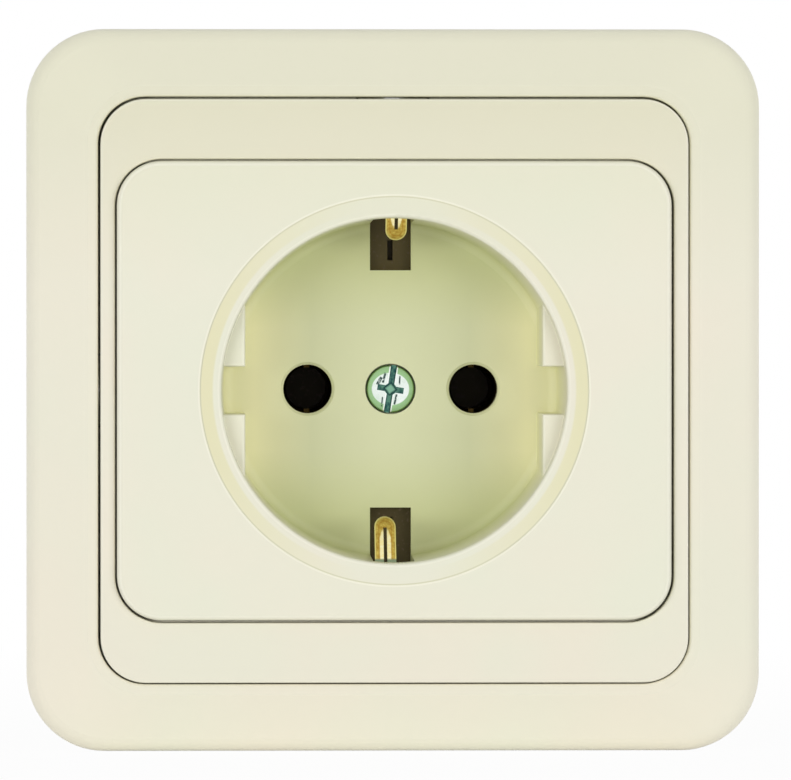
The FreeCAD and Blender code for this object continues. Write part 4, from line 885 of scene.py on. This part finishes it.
def driver_mark(tree, across, up, start, end, width):
    """1 along a short straight mark that a slipping screwdriver has left on the head."""
    length = math.dist(start, end)
    run, rise = (end[0] - start[0]) / length, (end[1] - start[1]) / length
    along = combine(tree, "MULTIPLY_ADD", up, rise, -(start[0] * run + start[1] * rise))
    along = combine(tree, "MULTIPLY_ADD", across, run, along)
    beside = combine(tree, "MULTIPLY_ADD", up, -run, start[1] * run - start[0] * rise)
    beside = combine(tree, "ABSOLUTE", combine(tree, "MULTIPLY_ADD", across, rise, beside))
    narrow = ramp(tree, beside, width / 2 + MARK_FADE[0], width / 2 + MARK_FADE[1])
    return combine(tree, "MULTIPLY", narrow, band(tree, along, 0.0, length, MARK_BLUR))


def driver_marks(tree, across, up):
    """1 along every mark, broken up unevenly."""
    marks = 0.0
    for start, end, width in DRIVER_MARKS:
        marks = combine(tree, "MAXIMUM", driver_mark(tree, across, up, start, end, width), marks)
    uneven = noise(tree, object_place(tree), MARK_GRAIN, detail=2.0, roughness=0.5)
    return combine(tree, "MULTIPLY", marks, ramp(tree, uneven, low=0.3, high=0.5))


def from_recess_lines(tree, across, up, turn):
    """How far the point that is shaded lies from the middle lines of slot and cross."""
    aside = combine(tree, "SUBTRACT", combine(tree, "MULTIPLY", across, math.cos(turn)),
                    combine(tree, "MULTIPLY", up, math.sin(turn)))
    above = combine(tree, "ADD", combine(tree, "MULTIPLY", across, math.sin(turn)),
                    combine(tree, "MULTIPLY", up, math.cos(turn)))
    return combine(tree, "ABSOLUTE", aside), combine(tree, "ABSOLUTE", above)


def recess_plan(tree, aside, above):
    """1 inside the plan of the recess: its slot, the cross arm and the heart."""
    slot_edge, cross_edge, heart_edge = SLOT_WIDTH / 2, CROSS_LENGTH / 2, HEART_WIDTH / 2
    slot = ramp(tree, aside, slot_edge + RECESS_BLUR, slot_edge)
    arm = combine(tree, "MULTIPLY", ramp(tree, above, slot_edge + RECESS_BLUR, slot_edge),
                  ramp(tree, aside, cross_edge + RECESS_BLUR, cross_edge))
    heart = ramp(tree, combine(tree, "ADD", aside, above), heart_edge + HEART_BLUR, heart_edge)
    return combine(tree, "MAXIMUM", combine(tree, "MAXIMUM", slot, arm), heart)


def screw_recess_shade(tree, aside, above):
    """Painted shade down in the recess, cloudy dark green and darkest at the foot of its walls, with
    painted light in its heart.
    """
    clouds = noise(tree, object_place(tree), RECESS_GRAIN, detail=3.0, roughness=0.6)
    colour = blend_colours(tree, ramp(tree, clouds, low=0.38, high=0.62), *RECESS_SHADE_TONES)
    from_heart = combine(tree, "ADD", aside, above)
    wall_foot = band(tree, aside, *WALL_FOOT, RECESS_BLUR)
    wall_foot = combine(tree, "MULTIPLY", wall_foot, ramp(tree, from_heart, *PAST_HEART))
    heart_rim = band(tree, from_heart, *HEART_RIM, HEART_BLUR)
    dark = combine(tree, "MAXIMUM", wall_foot, heart_rim)
    colour = blend_colours(tree, dark, colour, WALL_FOOT_SHADE_TONE)
    return blend_colours(tree, ramp(tree, from_heart, *HEART_CORE), colour, HEART_LIGHT_TONE)


def greenish_zinc(turn, head):
    """Zinc with a painted greenish reflection round the dome, a painted highlight beside the slot, and
    painted shade down in the recess.
    """
    material, tree, shader, colour = metal(
        "greenish_zinc", DOME_TONES, smooth=0.14, rough=0.28, values={"Cloud Scale": 520.0})
    across, _, up = split_place(tree)
    aside, above = from_recess_lines(tree, across, up, turn)
    # Painted reflection: greener round the rim of the dome, stretched upright.
    radius = distance(tree, across, combine(tree, "MULTIPLY", up, DOME_REFLECTION_STRETCH))
    painted_rim = ramp(tree, radius, head * DOME_REFLECTION_RIM[0], head * DOME_REFLECTION_RIM[1])
    # Painted highlight beside the slot.
    lip_highlight = band(tree, aside, *SLOT_LIP_HIGHLIGHT, RECESS_BLUR)
    marks = driver_marks(tree, across, up)
    recess = recess_plan(tree, aside, above)
    for mask, tone in ((painted_rim, DOME_REFLECTION_TONE), (lip_highlight, LIP_HIGHLIGHT_TONE), (marks, MARK_TONE),
                       (recess, screw_recess_shade(tree, aside, above))):
        colour = blend_colours(tree, mask, colour, tone)
    tree.links.new(colour, shader.inputs["Base Color"])
    return material


screw_low, screw_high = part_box("cover_screw")
screw_head = (screw_high.x - screw_low.x) / 2
turn_screw("cover_screw_threaded", 0.0, 0.0, front=screw_low.y, seat=screw_low.y + SCREW_HEAD_HEIGHT,
           end=screw_high.y, head=screw_head, shank=SCREW_SHANK, turn=SCREW_TURN)
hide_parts("cover_screw")
finish_piece(greenish_zinc(SCREW_TURN, screw_head), SCREW_SMOOTHING)

# Floor: a large pale sheet just under the object. The camera and reflections see it white, but for
# the soft shadow that the object casts round its own foot.
FLOOR_SIZE = 6.0
FLOOR_GAP = 0.0001
FLOOR_PAINT = (0.86, 0.86, 0.85, 1.0)
SHADOW_REACH = (0.06, 0.3)
WHITE_NEAR = 0.96


def seen_directly(tree):
    """1 for what the camera, a reflection or glass shows, and 0 for light that falls on something."""
    ray = add_node(tree, "ShaderNodeLightPath")
    seen = combine(tree, "MAXIMUM", ray.outputs["Is Camera Ray"], ray.outputs["Is Glossy Ray"])
    return combine(tree, "MAXIMUM", seen, ray.outputs["Is Transmission Ray"])


def floor_paint():
    """Plain paint that glows white where it is seen directly, and fully so only far from the object."""
    material = bpy.data.materials.new("floor_paint")
    material.use_nodes = True
    tree = material.node_tree
    tree.nodes.clear()
    reach = add_node(tree, "ShaderNodeVectorMath", operation="LENGTH")
    tree.links.new(object_place(tree), reach.inputs[0])
    white = ramp(tree, reach.outputs["Value"], *SHADOW_REACH, start=WHITE_NEAR)
    diffuse = add_node(tree, "ShaderNodeBsdfDiffuse")
    diffuse.inputs["Color"].default_value = FLOOR_PAINT
    mix = add_node(tree, "ShaderNodeMixShader")
    tree.links.new(combine(tree, "MULTIPLY", seen_directly(tree), white), mix.inputs[0])
    tree.links.new(diffuse.outputs[0], mix.inputs[1])
    tree.links.new(add_node(tree, "ShaderNodeEmission").outputs[0], mix.inputs[2])
    tree.links.new(mix.outputs[0], add_node(tree, "ShaderNodeOutputMaterial").inputs["Surface"])
    return material


bpy.ops.object.select_all(action="DESELECT")
bpy.ops.mesh.primitive_plane_add(size=FLOOR_SIZE, location=(0, 0, cad_box[0][2] - FLOOR_GAP))
floor = bpy.context.object
floor.name = "floor"
floor.data.materials.append(floor_paint())

# Light: white all round to the eye but dimmer on what it lights, with two wide soft lamps in front
# at either side and a third behind.
ROOM_LEVEL = 0.46


def light_the_room():
    """White where it is seen directly, and a plain level on what it lights."""
    world = bpy.data.worlds.new("room")
    bpy.context.scene.world = world
    world.use_nodes = True
    tree = world.node_tree
    background = tree.nodes["Background"]
    background.inputs["Color"].default_value = (1, 1, 1, 1)
    tree.links.new(ramp(tree, seen_directly(tree), start=ROOM_LEVEL), background.inputs["Strength"])


def add_lamp(name, place, wide, high, power):
    """A soft lamp, wide and low, that faces the object."""
    lamp = bpy.data.lights.new(name, "AREA")
    lamp.shape = "RECTANGLE"
    lamp.size = wide
    lamp.size_y = high
    lamp.energy = power
    holder = bpy.data.objects.new(name, lamp)
    holder.location = place
    holder.rotation_euler = (-holder.location).to_track_quat("-Z", "Y").to_euler()
    holder.visible_glossy = False
    bpy.context.collection.objects.link(holder)


light_the_room()
add_lamp("left_lamp", place=(-0.62, -1.0, 0.05), wide=0.7, high=0.16, power=4.55)
add_lamp("right_lamp", place=(0.62, -1.0, 0.05), wide=0.7, high=0.16, power=4.45)
add_lamp("rear_lamp", place=(0.0, 1.2, 0.2), wide=1.2, high=0.4, power=5.0)

# Camera: a long lens about a metre away, a little left of the axis and above it. It aims at the
# middle of the plate's face.
CAMERA_PLACE = Vector((-0.028, -1.071, 0.012))
AIM = Vector((0.0001, -0.011, 0.00008))
LENS = 428.0
SENSOR_WIDTH = 36.0
camera = bpy.data.cameras.new("camera")
camera.lens = LENS
camera.sensor_width = SENSOR_WIDTH
camera.clip_start = 0.05
camera.clip_end = 20.0
viewer = bpy.data.objects.new("camera", camera)
viewer.location = CAMERA_PLACE
viewer.rotation_euler = (AIM - CAMERA_PLACE).to_track_quat("-Z", "Y").to_euler()
bpy.context.collection.objects.link(viewer)
bpy.context.scene.camera = viewer
bpy.context.scene.view_settings.view_transform = "Standard"

# Shader trees: their nodes are set in columns from left to right, in the order in which they feed
# each other, so that they can be read in the editor.
COLUMN_WIDTH = 220
ROW_HEIGHT = 280


def arrange(tree):
    """Puts each node of a tree one column to the right of the last node that feeds it."""
    column = {node.name: 0 for node in tree.nodes}
    links = [(link.from_node.name, link.to_node.name) for link in tree.links]
    for _ in tree.nodes:
        for feeder, fed in links:
            column[fed] = max(column[fed], column[feeder] + 1)
    filled = {}
    for node in tree.nodes:
        place = column[node.name]
        node.location = (COLUMN_WIDTH * place, -ROW_HEIGHT * filled.get(place, 0))
        filled[place] = filled.get(place, 0) + 1


for holder in (*bpy.data.materials, bpy.context.scene.world):
    if holder.use_nodes:
        arrange(holder.node_tree)
for group in (MOULDED, WORKED):
    arrange(group)
